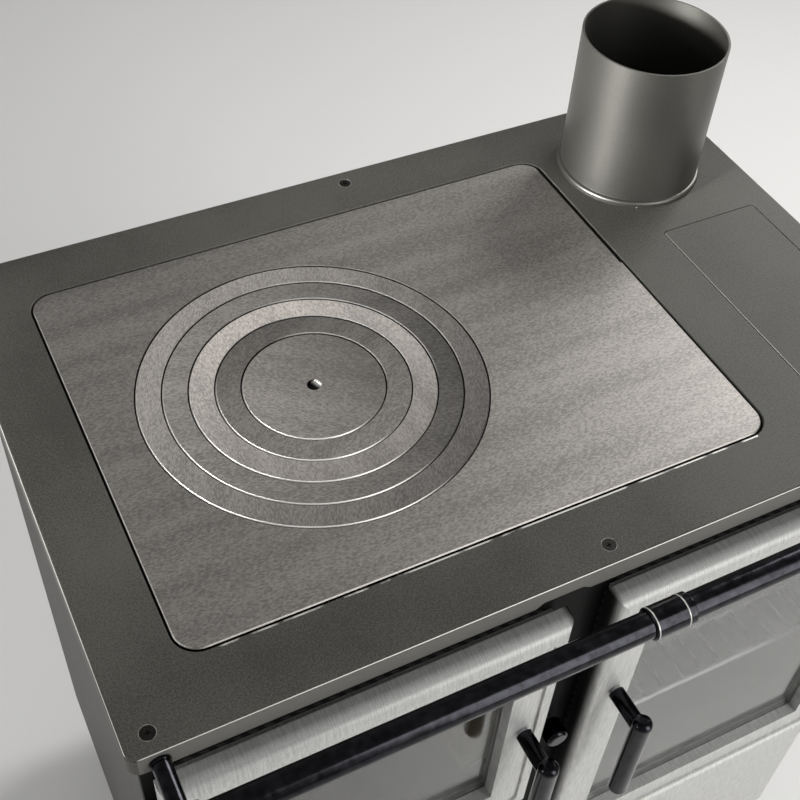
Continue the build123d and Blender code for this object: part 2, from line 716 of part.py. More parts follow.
def make_grate_frame():
    cx, cy = grate_centre()
    half_w = GRATE_WIDTH / 2 - GRATE_BEARING
    half_l = GRATE_LENGTH / 2 - GRATE_BEARING
    hole = block(cx - half_w, cx + half_w, cy - half_l, cy + half_l, z_grate_frame, z_grate)
    return firebox_plate(z_grate_frame, z_grate) - hole


def make_grate():
    cx, cy = grate_centre()
    grate = slab(cx, cy, GRATE_WIDTH, GRATE_LENGTH, GRATE_SLOT_WIDTH, z_grate, z_grate + GRATE_THICK)
    pitch = (GRATE_WIDTH - 2 * GRATE_BEARING) / GRATE_SLOTS
    for i in range(GRATE_SLOTS):
        x = cx + (i - (GRATE_SLOTS - 1) / 2) * pitch
        grate -= slab(x, cy, GRATE_SLOT_WIDTH, GRATE_SLOT_LENGTH, GRATE_SLOT_END_R,
                      z_grate, z_grate + GRATE_THICK)
    return grate


def make_side_brick(side):
    y0 = front_back_y + BRICK_FRONT_GAP
    y1 = FIREBOX_BACK - FIREBOX_WALL - BRICK_THICK
    x0 = fire_hole[0] if side < 0 else fire_hole[1] - BRICK_THICK
    return block(x0, x0 + BRICK_THICK, y0, y1, z_grate, z_grate + BRICK_HEIGHT)


def make_back_brick():
    y1 = FIREBOX_BACK - FIREBOX_WALL
    return block(fire_hole[0], fire_hole[1], y1 - BRICK_THICK, y1, z_grate, z_grate + BRICK_HEIGHT)


# Oven


def make_oven_liner():
    x0, x1, z0, z1 = oven_hole
    liner = block(x0 - SHEET, x1 + SHEET, front_back_y, OVEN_BACK, z0 - SHEET, z1 + SHEET)
    liner -= block(x0, x1, front_back_y, OVEN_BACK - SHEET, z0, z1)
    return liner - latch_slot(x0 - SHEET, x0)


def make_oven_runners():
    """Ledges on both oven walls that carry the rack and the tray."""
    x0, x1 = oven_hole[0], oven_hole[1]
    y0 = front_back_y + OVEN_FRONT_CLEAR
    y1 = OVEN_BACK - SHEET
    runners = []
    for z in (z_rack, z_tray):
        runners.append(block(x0, x0 + RUNNER_SIZE, y0, y1, z - RUNNER_SIZE, z))
        runners.append(block(x1 - RUNNER_SIZE, x1, y0, y1, z - RUNNER_SIZE, z))
    return runners


def make_oven_rack():
    """A wire grid on the lower runners."""
    x0 = oven_hole[0] + RACK_PLAY + RACK_WIRE_R
    x1 = oven_hole[1] - RACK_PLAY - RACK_WIRE_R
    y0 = front_back_y + OVEN_FRONT_CLEAR + RACK_WIRE_R
    y1 = OVEN_BACK - SHEET - RACK_PLAY - RACK_WIRE_R
    z = z_rack + RACK_WIRE_R
    rack = rod_y(x0, z, RACK_WIRE_R, y0, y1) + rod_y(x1, z, RACK_WIRE_R, y0, y1)
    rack += rod_x(y0, z, RACK_WIRE_R, x0 - RACK_WIRE_R, x1 + RACK_WIRE_R)
    rack += rod_x(y1, z, RACK_WIRE_R, x0 - RACK_WIRE_R, x1 + RACK_WIRE_R)
    pitch = (x1 - x0) / (RACK_BARS + 1)
    bars = [rod_y(x0 + pitch * (i + 1), z, RACK_BAR_R, y0, y1) for i in range(RACK_BARS)]
    return rack + bars


def make_oven_tray():
    """A baking tray whose rim rests on the upper runners."""
    x0 = oven_hole[0] + RACK_PLAY
    x1 = oven_hole[1] - RACK_PLAY
    y0 = front_back_y + OVEN_FRONT_CLEAR
    y1 = OVEN_BACK - SHEET - RACK_PLAY
    z = z_tray
    tray = block(x0, x1, y0, y1, z, z + TRAY_WALL)
    rim = TRAY_RIM
    tray += block(x0 + rim, x1 - rim, y0 + rim, y1 - rim, z - TRAY_DEPTH, z + TRAY_WALL)
    inner = rim + TRAY_WALL
    floor = z - TRAY_DEPTH + TRAY_WALL
    return tray - block(x0 + inner, x1 - inner, y0 + inner, y1 - inner, floor, z + TRAY_WALL)


# Drawers


def open_box(x0, x1, y0, y1, z0, z1):
    """A sheet-metal box with no lid."""
    w = DRAWER_WALL
    return block(x0, x1, y0, y1, z0, z1) - block(x0 + w, x1 - w, y0 + w, y1 - w, z0 + w, z1)


def make_ash_front():
    front = drawer_front(ASH_FRONT)
    for x in air_slot_places():
        front -= block(x - AIR_SLOT_WIDTH / 2, x + AIR_SLOT_WIDTH / 2, drawer_front_y, door_back_y,
                       air_z - AIR_SLOT_HEIGHT / 2, air_z + AIR_SLOT_HEIGHT / 2)
    return front


def make_ash_pan():
    x0 = fire_hole[0] + DRAWER_SIDE_PLAY
    x1 = fire_hole[1] - DRAWER_SIDE_PLAY
    z0 = z_ash_floor + ASH_FLOOR + DRAWER_RUN
    y1 = FIREBOX_BACK - FIREBOX_WALL - ASH_PAN_END_CLEAR
    pan = open_box(x0, x1, door_back_y, y1, z0, z0 + ASH_PAN_HEIGHT)
    for x in air_slot_places():
        pan -= block(x - AIR_SLOT_WIDTH / 2, x + AIR_SLOT_WIDTH / 2, door_back_y, door_back_y + DRAWER_WALL,
                     air_z - AIR_SLOT_HEIGHT / 2, air_z + AIR_SLOT_HEIGHT / 2)
    return pan


def make_wood_box():
    x = wood_hole[1] - DRAWER_SIDE_PLAY
    z0 = wood_hole[2] + DRAWER_RUNNER_HEIGHT + DRAWER_RUN
    y1 = inner_back_y - SHEET - WOOD_BOX_BACK_CLEAR
    return open_box(-x, x, door_back_y, y1, z0, z0 + WOOD_BOX_HEIGHT)


def make_drawer_runners():
    z0 = wood_hole[2]
    z1 = z0 + DRAWER_RUNNER_HEIGHT
    y0 = front_back_y + SHEET
    y1 = inner_back_y - SHEET
    reach = wood_hole[1] - DRAWER_RUNNER_WIDTH
    return [block(-inner_x, -reach, y0, y1, z0, z1), block(reach, inner_x, y0, y1, z0, z1)]


def make_bar_handle(rect, length, drop):
    """A round bar on two posts across a drawer's front."""
    cx = (rect[0] + rect[1]) / 2
    z = rect[3] - drop
    y = drawer_front_y - BAR_STANDOFF
    bar = rod_x(y, z, BAR_R, cx - length / 2, cx + length / 2)
    bar = fillet(bar.edges().filter_by(GeomType.CIRCLE), BAR_END_R)
    for side in (-1, 1):
        bar += rod_y(cx + side * (length / 2 - BAR_POST_INSET), z, BAR_POST_R, y, drawer_front_y)
    return bar


# Primary air


def air_slot_places():
    return [air_x + (i - (AIR_SLOTS - 1) / 2) * AIR_SLOT_PITCH for i in range(AIR_SLOTS)]


def make_air_slide():
    """The shutter and its knob: half a slot pitch to one side it closes the front's slots."""
    half = AIR_SLOT_PITCH * AIR_SLOTS / 2 + AIR_SLIDE_EDGE
    z0 = air_z - AIR_SLOT_HEIGHT / 2 - AIR_SLIDE_EDGE
    z1 = air_z + AIR_SLOT_HEIGHT / 2 + AIR_SLIDE_EDGE
    y1 = drawer_front_y - AIR_SLIDE_RUN
    plate = block(air_x - half, air_x + half, y1 - AIR_SLIDE_THICK, y1, z0, z1)
    for x in air_slot_places():
        plate -= block(x - AIR_SLOT_WIDTH / 2, x + AIR_SLOT_WIDTH / 2, y1 - AIR_SLIDE_THICK, y1,
                       air_z - AIR_SLOT_HEIGHT / 2, air_z + AIR_SLOT_HEIGHT / 2)
    y0 = y1 - AIR_SLIDE_THICK - AIR_KNOB_LENGTH
    knob = rod_y(air_x - AIR_SLOT_PITCH / 2, air_z, AIR_KNOB_R, y0, y1 - AIR_SLIDE_THICK)
    return plate + fillet(knob.faces().sort_by(Axis.Y)[0].edges(), AIR_KNOB_END_R)


def make_air_guides():
    """Rebated strips above and below the shutter, on the drawer's front."""
    half = AIR_SLOT_PITCH * (AIR_SLOTS / 2 + 0.5) + AIR_SLIDE_EDGE
    reach = AIR_SLOT_HEIGHT / 2 + AIR_SLIDE_EDGE
    deep = AIR_SLIDE_THICK + 2 * AIR_SLIDE_RUN
    guides = []
    for side in (-1, 1):
        inner = air_z + side * (reach + AIR_SLIDE_RUN)
        outer = inner + side * AIR_GUIDE_LIP
        lap = inner - side * AIR_GUIDE_LIP
        strip = block(air_x - half, air_x + half, drawer_front_y - deep, drawer_front_y,
                      min(inner, outer), max(inner, outer))
        strip += block(air_x - half, air_x + half, drawer_front_y - deep - SHEET, drawer_front_y - deep,
                       min(lap, outer), max(lap, outer))
        guides.append(strip)
    return guides


# Bypass damper


def make_damper_slide():
    """The pull rod and the plate on its back end that shuts the bypass."""
    y0 = front_y - DAMPER_KNOB_GAP - DAMPER_KNOB_LENGTH / 2
    y1 = DAMPER_ROD_BACK + DAMPER_PLATE_THICK
    half = DAMPER_PLATE_SIZE / 2
    plate = block(mullion_x - half, mullion_x + half, DAMPER_ROD_BACK, y1,
                  DAMPER_HEIGHT - half, DAMPER_HEIGHT + half)
    return plate + rod_y(mullion_x, DAMPER_HEIGHT, DAMPER_ROD_R, y0, DAMPER_ROD_BACK)


def make_damper_knob():
    y1 = front_y - DAMPER_KNOB_GAP
    y0 = y1 - DAMPER_KNOB_LENGTH
    knob = rod_y(mullion_x, DAMPER_HEIGHT, DAMPER_KNOB_R, y0, y1)
    knob = fillet(knob.edges().filter_by(GeomType.CIRCLE), DAMPER_KNOB_END_R)
    return knob - rod_y(mullion_x, DAMPER_HEIGHT, DAMPER_ROD_R + PIN_SEAT, (y0 + y1) / 2, y1)


def make_damper_guide():
    x0 = fire_hole[1] + FIREBOX_WALL
    guide = block(x0, x0 + DAMPER_GUIDE_REACH, DAMPER_GUIDE_Y, DAMPER_GUIDE_Y + DAMPER_GUIDE_THICK,
                  DAMPER_HEIGHT - DAMPER_GUIDE_HALF, DAMPER_HEIGHT + DAMPER_GUIDE_HALF)
    return guide - rod_y(mullion_x, DAMPER_HEIGHT, DAMPER_ROD_R + DAMPER_ROD_PLAY,
                         DAMPER_GUIDE_Y, DAMPER_GUIDE_Y + DAMPER_GUIDE_THICK)


# Front rail


def make_rail_tube():
    end = rail_bracket_x + RAIL_HEAD_LENGTH / 2 - RAIL_HEAD_CAP - RAIL_FIT
    tube = rod_x(rail_y, rail_z, RAIL_R, -end, end)
    return tube - rod_x(rail_y, rail_z, RAIL_R - RAIL_WALL, -end, end)


def make_rail_sleeve():
    x0 = SLEEVE_OFF_CENTRE - SLEEVE_LENGTH / 2
    x1 = SLEEVE_OFF_CENTRE + SLEEVE_LENGTH / 2
    sleeve = rod_x(rail_y, rail_z, SLEEVE_R, x0, x1)
    sleeve = chamfer(sleeve.edges().filter_by(GeomType.CIRCLE), SLEEVE_CHAMFER)
    return sleeve - rod_x(rail_y, rail_z, RAIL_R + PIN_SEAT, x0, x1)


def make_rail_bracket(side):
    """A post off the top's front lip with a blind socket for the rail's end."""
    x = rail_bracket_x
    head = rod_x(rail_y, rail_z, RAIL_HEAD_R, x - RAIL_HEAD_LENGTH / 2, x + RAIL_HEAD_LENGTH / 2)
    head = fillet(head.edges().filter_by(GeomType.CIRCLE), RAIL_FLANGE)
    bracket = head + rod_y(x, rail_z, RAIL_POST_R, rail_y, -top_y)
    bracket += rod_y(x, rail_z, RAIL_FLANGE_R, -top_y - RAIL_FLANGE, -top_y)
    socket_x1 = x + RAIL_HEAD_LENGTH / 2 - RAIL_HEAD_CAP
    bracket -= rod_x(rail_y, rail_z, RAIL_R + PIN_SEAT, x - RAIL_HEAD_LENGTH / 2, socket_x1)
    bracket -= rod_y(x, rail_z, RAIL_BOLT_R, -top_y - RAIL_BOLT_GRIP, -top_y)
    return bracket if side > 0 else mirror(bracket, about=Plane.YZ)


def make_rail_bolt(side):
    x = side * rail_bracket_x
    y = -top_y + TOP_LIP_WALL
    shank = rod_y(x, rail_z, RAIL_BOLT_R - PIN_SEAT, -top_y - RAIL_BOLT_GRIP, y)
    return shank + rod_y(x, rail_z, RAIL_BOLT_HEAD_R, y, y + RAIL_BOLT_HEAD)


# The assembly

nodes = {
    "top_frame": make_top_frame(),
    "hotplate_seat": make_hotplate_seat(),
    "hotplate": make_hotplate(),
    "centre_disc": make_centre_disc(),
    "soot_hatch": make_soot_hatch(),
    "hatch_ledge": make_hatch_ledge(),
    "flue_collar": make_flue_collar(),
    "top_screws": [make_top_screw(x, y) for x, y in screw_places],
    "plinth": make_plinth(),
    "base_plate": make_base_plate(),
    "left_side_panel": make_side_panel(-1),
    "right_side_panel": make_side_panel(1),
    "back_panel": make_back_panel(),
    "rear_rail": make_rear_rail(),
    "front_frame": make_front_frame(),
    "mid_shelf": make_mid_shelf(),
    "firebox_shell": make_firebox_shell(),
    "ash_pit_floor": firebox_plate(z_ash_floor, z_ash_floor + ASH_FLOOR),
    "grate_frame": make_grate_frame(),
    "grate": make_grate(),
    "side_firebricks": [make_side_brick(-1), make_side_brick(1)],
    "back_firebrick": make_back_brick(),
    "oven_liner": make_oven_liner(),
    "oven_runners": make_oven_runners(),
    "oven_rack": make_oven_rack(),
    "oven_tray": make_oven_tray(),
    "ash_drawer_front": make_ash_front(),
    "ash_pan": make_ash_pan(),
    "ash_drawer_handle": make_bar_handle(ASH_FRONT, ASH_BAR_LENGTH, ASH_BAR_DROP),
    "air_slide": make_air_slide(),
    "air_guides": make_air_guides(),
    "wood_drawer_front": drawer_front(WOOD_FRONT),
    "wood_drawer_box": make_wood_box(),
    "wood_drawer_handle": make_bar_handle(WOOD_FRONT, WOOD_BAR_LENGTH, WOOD_BAR_DROP),
    "drawer_runners": make_drawer_runners(),
    "damper_slide": make_damper_slide(),
    "damper_knob": make_damper_knob(),
    "damper_guide": make_damper_guide(),
    "rail_tube": make_rail_tube(),
    "rail_sleeve": make_rail_sleeve(),
    "rail_brackets": [make_rail_bracket(-1), make_rail_bracket(1)],
    "rail_bolts": [make_rail_bolt(-1), make_rail_bolt(1)],
}
for i in range(RING_COUNT):
    nodes[f"cook_ring_{i + 1}"] = make_cook_ring(i)
doors = (
    ("firebox", FIRE_DOOR, fire_hinge_x, fire_spindle_x),
    ("oven", OVEN_DOOR, oven_hinge_x, oven_spindle_x),
)
for name, rect, hinge_x, spindle_x in doors:
    nodes[f"{name}_door"] = make_door(rect, hinge_x, spindle_x)
    nodes[f"{name}_glass"] = make_glass(rect)
    nodes[f"{name}_glass_retainer"] = make_retainer(rect)
    nodes[f"{name}_door_seal"] = make_seal(rect)
    nodes[f"{name}_hinge"] = make_frame_lugs(rect, hinge_x) + make_hinge_pins(rect, hinge_x)
    nodes[f"{name}_door_handle"] = make_handle(spindle_x)
    nodes[f"{name}_door_latch"] = make_latch(spindle_x)

os.makedirs("parts", exist_ok=True)
for name, shape in nodes.items():
    pieces = shape if isinstance(shape, list) else [shape]
    solids = [solid for piece in pieces for solid in piece.solids()]
    whole = Compound(children=list(solids)) if len(solids) > 1 else solids[0]
    export_step(whole, f"parts/{name}.step")
print(len(nodes), "nodes written")
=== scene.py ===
# %% [markdown]
# # A wood-burning cookstove
#
# The stove stands on the floor with its front towards -Y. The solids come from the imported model, so every
# lid, ring, door and drawer already has its shape and place. What this lesson adds is the surface of each
# piece, the few small details that a solid model leaves out, the light and the camera.

import math

import bmesh
import bpy
from mathutils import Matrix, Vector


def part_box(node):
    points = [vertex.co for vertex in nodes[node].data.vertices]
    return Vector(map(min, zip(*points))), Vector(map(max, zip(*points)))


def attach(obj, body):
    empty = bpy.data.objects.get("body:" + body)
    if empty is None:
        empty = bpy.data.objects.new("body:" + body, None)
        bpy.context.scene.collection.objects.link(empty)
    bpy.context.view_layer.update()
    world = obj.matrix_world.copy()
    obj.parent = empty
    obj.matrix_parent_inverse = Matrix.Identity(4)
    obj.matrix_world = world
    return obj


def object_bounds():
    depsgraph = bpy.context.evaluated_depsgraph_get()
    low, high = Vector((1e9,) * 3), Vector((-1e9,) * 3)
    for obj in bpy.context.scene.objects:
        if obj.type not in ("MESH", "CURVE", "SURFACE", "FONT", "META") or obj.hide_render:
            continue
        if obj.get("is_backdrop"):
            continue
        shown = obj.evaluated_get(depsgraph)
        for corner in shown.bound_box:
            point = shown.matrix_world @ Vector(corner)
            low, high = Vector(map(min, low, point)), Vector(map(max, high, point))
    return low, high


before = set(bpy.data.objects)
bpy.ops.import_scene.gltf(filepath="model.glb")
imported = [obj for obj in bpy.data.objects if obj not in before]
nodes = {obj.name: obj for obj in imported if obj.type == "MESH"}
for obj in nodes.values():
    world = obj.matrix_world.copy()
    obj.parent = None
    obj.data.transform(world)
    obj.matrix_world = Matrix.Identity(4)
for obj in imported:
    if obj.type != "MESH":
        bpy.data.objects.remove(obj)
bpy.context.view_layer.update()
MM = 0.001
top_low, top_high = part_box("top_frame")
z_top = top_high.z

# %% [markdown]
# ## Helpers for materials
#
# Colours are written as the sRGB hex values a colour picker shows, and one function turns them into the
# linear numbers that shaders use. One more function adds a node: settings are plain keywords, and the inputs
# are a dictionary in which a socket is linked and anything else becomes the socket's value. A Mix node for
# colours has several sockets of one name, so its sockets are given by number: 0 the share, 6 and 7 the
# colours, and 2 the result. For plain numbers they are 0, 2 and 3, and the result is 0.


# %% Colour and node helpers
def linear(code):
    """An sRGB hex colour as linear RGBA."""
    values = [int(code[i : i + 2], 16) / 255 for i in (1, 3, 5)]
    return [v / 12.92 if v <= 0.04045 else ((v + 0.055) / 1.055) ** 2.4 for v in values] + [1.0]


def add(tree, kind, inputs=None, **settings):
    """A new node with its settings, its values and its links."""
    made = tree.nodes.new(kind)
    for name, value in settings.items():
        setattr(made, name, value)
    for name, value in (inputs or {}).items():
        if isinstance(value, bpy.types.NodeSocket):
            tree.links.new(value, made.inputs[name])
        else:
            made.inputs[name].default_value = value
    return made


def start_finish(name, **values):
    """A new material, its node tree, its main shader and its object coordinates."""
    material = bpy.data.materials.new(name)
    material.use_nodes = True
    tree = material.node_tree
    shader = tree.nodes["Principled BSDF"]
    for socket, value in values.items():
        shader.inputs[socket.replace("_", " ")].default_value = value
    place = add(tree, "ShaderNodeTexCoord").outputs["Object"]
    return material, tree, shader, place


def tint(tree, pattern, dark, light, low=0.3, high=0.7):
    """A colour that goes from dark to light as a pattern goes from low to high."""
    share = add(tree, "ShaderNodeMapRange", {"Value": pattern, "From Min": low, "From Max": high})
    blend = add(tree, "ShaderNodeMix", {0: share.outputs["Result"], 6: linear(dark), 7: linear(light)},
                data_type="RGBA")
    return blend.outputs[2]


def cover(tree, colour, code, mask):
    """A colour with another one over it where the mask is 1."""
    blend = add(tree, "ShaderNodeMix", {0: mask, 6: colour, 7: linear(code)}, data_type="RGBA")
    return blend.outputs[2]


def emboss(tree, shader, height, strength, depth):
    """Bump of the given depth, in metres, on the main shader."""
    bump = add(tree, "ShaderNodeBump", {"Height": height, "Strength": strength, "Distance": depth})
    tree.links.new(bump.outputs["Normal"], shader.inputs["Normal"])


def dress(material, *names):
    """Gives CAD nodes their material."""
    for name in names:
        mesh = nodes[name].data
        mesh.materials.clear()
        mesh.materials.append(material)
    print(material.name + ":", ", ".join(names))


print("mid grey in linear numbers:", [round(v, 3) for v in linear("#808080")])

# %% [markdown]
# ## Ground cast iron: the hotplate, its rings and the disc
#
# A hotplate is cast, then surface-ground. The wheel leaves a short grain with broad, faint sweeps along its
# travel. Each ring also gets a painted sheen: one side is painted paler and the other darker, where the light
# would catch its grinding. A noise stretched along the grinding direction gives the grain, a much longer one
# gives the sweeps, and a slope across the ring paints the sheen and the shade. Painted lines would look too
# regular for this.

# %% Grain, sweeps and pits
# Each pair is a length along the grinding and a width across it. Real grain is a few tenths of a millimetre
# wide and wouldn't show from here, so it is drawn coarser.
GRAIN = (3.0 * MM, 1.2 * MM)
SWEEP = (300 * MM, 24 * MM)
SWEEP_SHARE = 0.28
GRAIN_DEPTH = 0.3 * MM
GRAIN_BUMP = 0.12
IRON_CONTRAST = (0.38, 0.62)
IRON_ROUGHNESS = (0.42, 0.56)
PIT_SPACING = 45 * MM
PIT_SIZE = 0.6 * MM
SHEEN_REACH = 150 * MM
SOOT_BELOW = 1.1 * MM
disc_low, disc_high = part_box("centre_disc")
ring_centre = (disc_low + disc_high) / 2


def ground_iron(name, dark, light, turn, painted_sheen_side=(0.0, 0.0), pale=1.0, shade=1.0):
    """Ground iron, its colour and the mask of its clean surface.

    The grain runs at turn degrees to the X axis. The colour is scaled from shade to pale towards
    painted_sheen_side: a painted sheen on that side of the ring and painted shade on the other.
    """
    material, tree, shader, place = start_finish(name, Metallic=0.85)
    turned = add(tree, "ShaderNodeMapping", {"Vector": place, "Rotation": (0, 0, math.radians(-turn))})
    noises = []
    for along, across in (GRAIN, SWEEP):
        drawn = add(tree, "ShaderNodeMapping", {"Vector": turned.outputs["Vector"],
                                                "Scale": (1 / along, 1 / across, 1 / along)})
        noises.append(add(tree, "ShaderNodeTexNoise", {"Vector": drawn.outputs["Vector"], "Scale": 1.0,
                                                       "Detail": 2.0}).outputs["Fac"])
    grain, sweeps = noises
    pattern = add(tree, "ShaderNodeMix", {0: SWEEP_SHARE, 2: grain, 3: sweeps}).outputs[0]
    colour = tint(tree, pattern, dark, light, *IRON_CONTRAST)
    pits = add(tree, "ShaderNodeTexVoronoi", {"Vector": place, "Scale": 1 / PIT_SPACING})
    pitted = add(tree, "ShaderNodeMath", {0: pits.outputs["Distance"], 1: PIT_SIZE / PIT_SPACING},
                 operation="LESS_THAN")
    colour = cover(tree, colour, "#3c3936", pitted.outputs["Value"])
    # Painted sheen and painted shade: the colour is scaled up towards one side of the ring and down on the
    # other.
    offset = add(tree, "ShaderNodeVectorMath", {0: place, 1: ring_centre}, operation="SUBTRACT")
    side = add(tree, "ShaderNodeVectorMath", {0: offset.outputs["Vector"], 1: (*painted_sheen_side, 0.0)},
               operation="DOT_PRODUCT")
    slope = add(tree, "ShaderNodeMapRange", {"Value": side.outputs["Value"], "From Min": -SHEEN_REACH,
                                             "From Max": SHEEN_REACH, "To Min": shade, "To Max": pale})
    sheen_toned = add(tree, "ShaderNodeVectorMath", {0: colour, "Scale": slope.outputs["Result"]}, operation="SCALE")
    height = add(tree, "ShaderNodeSeparateXYZ", {"Vector": place}).outputs["Z"]
    clean = add(tree, "ShaderNodeMath", {0: height, 1: z_top - SOOT_BELOW}, operation="GREATER_THAN")
    rough = add(tree, "ShaderNodeMapRange", {"Value": pattern, "To Min": IRON_ROUGHNESS[0],
                                             "To Max": IRON_ROUGHNESS[1]})
    tree.links.new(rough.outputs["Result"], shader.inputs["Roughness"])
    emboss(tree, shader, grain, GRAIN_BUMP, GRAIN_DEPTH)
    return material, tree, shader, place, sheen_toned.outputs["Vector"], clean.outputs["Value"]


print("ring centre:", [round(v, 4) for v in ring_centre])

# %% [markdown]
# ### Soot in the joints and painted highlights on the rims
#
# The rim of every ring is chamfered. Its chamfer gets a painted highlight on one side, here the front left,
# and the hole in it a weaker one on the opposite side. The plate's outline gets a painted highlight all
# round. Below the rim there is only soot, which makes the joints black. The masks are made from distances to
# the ring's centre or to the plate's outline, so the painted highlights keep their width all the way round.

# %% Soot and painted highlights on the rims
# Black for the soot in the joints, and for painted shade deep in the disc's recess.
SOOT_AND_SHADE_BLACK = "#0b0a0a"
CHAMFER = 0.9 * MM
HIGHLIGHT_SIDE = Vector((-0.757, -0.653, 0.0))
# The painted highlight on the rim fades in between these shares of the radius, measured towards its side.
RIM_FADE = (0.25, 0.7)
HOLE_FADE = (-0.5, -0.8)
# From the ring's radius: 1.2 mm of joint, then the painted highlight at the edge of the hole.
HOLE_HIGHLIGHT_BAND = 2.0 * MM
HOLE_SHARE = 0.65


def edge_band(tree, place, low, high, start, stop):
    """1 where a point lies from start to stop outside a box's outline, seen from above."""
    centre = (low + high) / 2
    half = (high - low) / 2
    offset = add(tree, "ShaderNodeVectorMath", {0: place, 1: centre}, operation="SUBTRACT")
    size = add(tree, "ShaderNodeVectorMath", {0: offset.outputs["Vector"]}, operation="ABSOLUTE")
    past = add(tree, "ShaderNodeVectorMath", {0: size.outputs["Vector"], 1: half}, operation="SUBTRACT")
    axes = add(tree, "ShaderNodeSeparateXYZ", {"Vector": past.outputs["Vector"]})
    reach = add(tree, "ShaderNodeMath", {0: axes.outputs["X"], 1: axes.outputs["Y"]}, operation="MAXIMUM")
    band = add(tree, "ShaderNodeMath", {0: reach.outputs["Value"], 1: (start + stop) / 2,
                                        2: (stop - start) / 2}, operation="COMPARE")
    return band.outputs["Value"]


def rim_highlight_mask(tree, place, radius, hole):
    """Painted highlight: 1 on a round piece's rim towards HIGHLIGHT_SIDE, and a lesser share on the far
    side of the hole in it.
    """
    flat = add(tree, "ShaderNodeVectorMath", {0: place, 1: (1.0, 1.0, 0.0)}, operation="MULTIPLY")
    offset = add(tree, "ShaderNodeVectorMath", {0: flat.outputs["Vector"],
                                                1: (ring_centre.x, ring_centre.y, 0.0)},
                 operation="SUBTRACT").outputs["Vector"]
    away = add(tree, "ShaderNodeVectorMath", {0: offset}, operation="LENGTH").outputs["Value"]
    along = add(tree, "ShaderNodeVectorMath", {0: offset, 1: HIGHLIGHT_SIDE}, operation="DOT_PRODUCT").outputs["Value"]
    outer = add(tree, "ShaderNodeMath", {0: away, 1: radius - CHAMFER}, operation="GREATER_THAN")
    near = add(tree, "ShaderNodeMapRange", {"Value": along, "From Min": RIM_FADE[0] * radius,
                                            "From Max": RIM_FADE[1] * radius})
    inner = add(tree, "ShaderNodeMath", {0: away, 1: hole + HOLE_HIGHLIGHT_BAND}, operation="LESS_THAN")
    far = add(tree, "ShaderNodeMapRange", {"Value": along, "From Min": HOLE_FADE[0] * hole,
                                           "From Max": HOLE_FADE[1] * hole, "To Max": HOLE_SHARE})
    dragged = add(tree, "ShaderNodeMath", {0: outer.outputs["Value"], 1: near.outputs["Result"]},
                  operation="MULTIPLY")
    rubbed = add(tree, "ShaderNodeMath", {0: inner.outputs["Value"], 1: far.outputs["Result"]},
                 operation="MULTIPLY")
    either = add(tree, "ShaderNodeMath", {0: dragged.outputs["Value"], 1: rubbed.outputs["Value"]},
                 operation="MAXIMUM")
    return either.outputs["Value"]


def finish_iron(parts, rim, rim_highlight_tone):
    """Soot below the surface and a painted highlight on the rim, then the colour goes to the shader."""
    material, tree, shader, _, colour, clean = parts
    soot_and_shade = add(tree, "ShaderNodeMath", {0: 1.0, 1: clean}, operation="SUBTRACT")
    colour = cover(tree, colour, SOOT_AND_SHADE_BLACK, soot_and_shade.outputs["Value"])
    # Painted highlight on the clean part of the rim.
    bright = add(tree, "ShaderNodeMath", {0: rim, 1: clean}, operation="MULTIPLY")
    tree.links.new(cover(tree, colour, rim_highlight_tone, bright.outputs["Value"]), shader.inputs["Base Color"])
    return material


# %% The plate
def round_radius(node):
    """The radius of a round node."""
    low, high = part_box(node)
    return (high.x - low.x) / 2


# Past the plate's corners, so that only its hole gets a painted highlight and no round rim is drawn on it.
PLATE_REACH = 1.0
plate_low, plate_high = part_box("hotplate")
plate = ground_iron("ground_cast_iron_plate", "#797672", "#9f9b96", 1)
# Painted highlights on the plate's chamfered outline and round the far side of its hole.
plate_rim_highlight = edge_band(plate[1], plate[3], plate_low, plate_high, -CHAMFER, 0.0)
plate_hole_highlight = rim_highlight_mask(plate[1], plate[3], PLATE_REACH, round_radius("cook_ring_1"))
plate_highlight = add(plate[1], "ShaderNodeMath", {0: plate_rim_highlight, 1: plate_hole_highlight}, operation="MAXIMUM")
dress(finish_iron(plate, plate_highlight.outputs["Value"], "#b4b0aa"), "hotplate")

# %% The rings and the disc
# Dark and light of the grain, its angle, the direction of the painted sheen, and the scales of the colour
# there and opposite, for the painted sheen and the painted shade.
RING_TONES_AND_SHEEN = {
    "cook_ring_1": ("#8a8682", "#b2ada8", 66, (-0.72, 0.70), 1.50, 0.40),
    "cook_ring_2": ("#787571", "#9f9b96", -14, (-0.96, 0.27), 1.70, 0.28),
    "cook_ring_3": ("#a09b96", "#cac4bd", 94, (-0.36, 0.93), 1.85, 0.42),
    "cook_ring_4": ("#73706c", "#99958f", 24, (-0.34, -0.94), 1.50, 0.52),
    "centre_disc": ("#807d78", "#a6a19b", 140, (-1.0, 0.0), 1.95, 0.10),
}
# Each ring's hole holds the next one in. The disc holds nothing: its value leaves no point inside of a hole.
HOLES = [round_radius(node) for node in list(RING_TONES_AND_SHEEN)[1:]] + [-HOLE_HIGHLIGHT_BAND]
for (node, tones), hole in zip(RING_TONES_AND_SHEEN.items(), HOLES):
    ring = ground_iron("ground_cast_iron_" + node, *tones)
    # The rim's painted highlight is near white.
    rim = rim_highlight_mask(ring[1], ring[3], round_radius(node), hole)
    dress(finish_iron(ring, rim, "#f2efea"), node)

# %% [markdown]
# ## Stove paint: the top frame, the casing and the flue collar
#
# Stove paint is sprayed on and baked by the first fires. It dries satin, with a fine grit that catches the
# light, and it is a warm charcoal rather than black. A grit-sized noise drives a small bump, and a second,
# larger noise lightens the colour in soft patches where it has been wiped and handled.

# %% Charcoal stove paint
# Real grit is about a tenth of a millimetre; it is drawn coarser so that it shows.
GRIT = 1.3 * MM
GRIT_DEPTH = 0.3 * MM
PATCH = 160 * MM
PATCH_SHARE = 0.45
PAINT_CONTRAST = (0.42, 0.58)
GLOSS_SPREAD = 0.06
BRIGHT_METAL_SHARE = 0.4


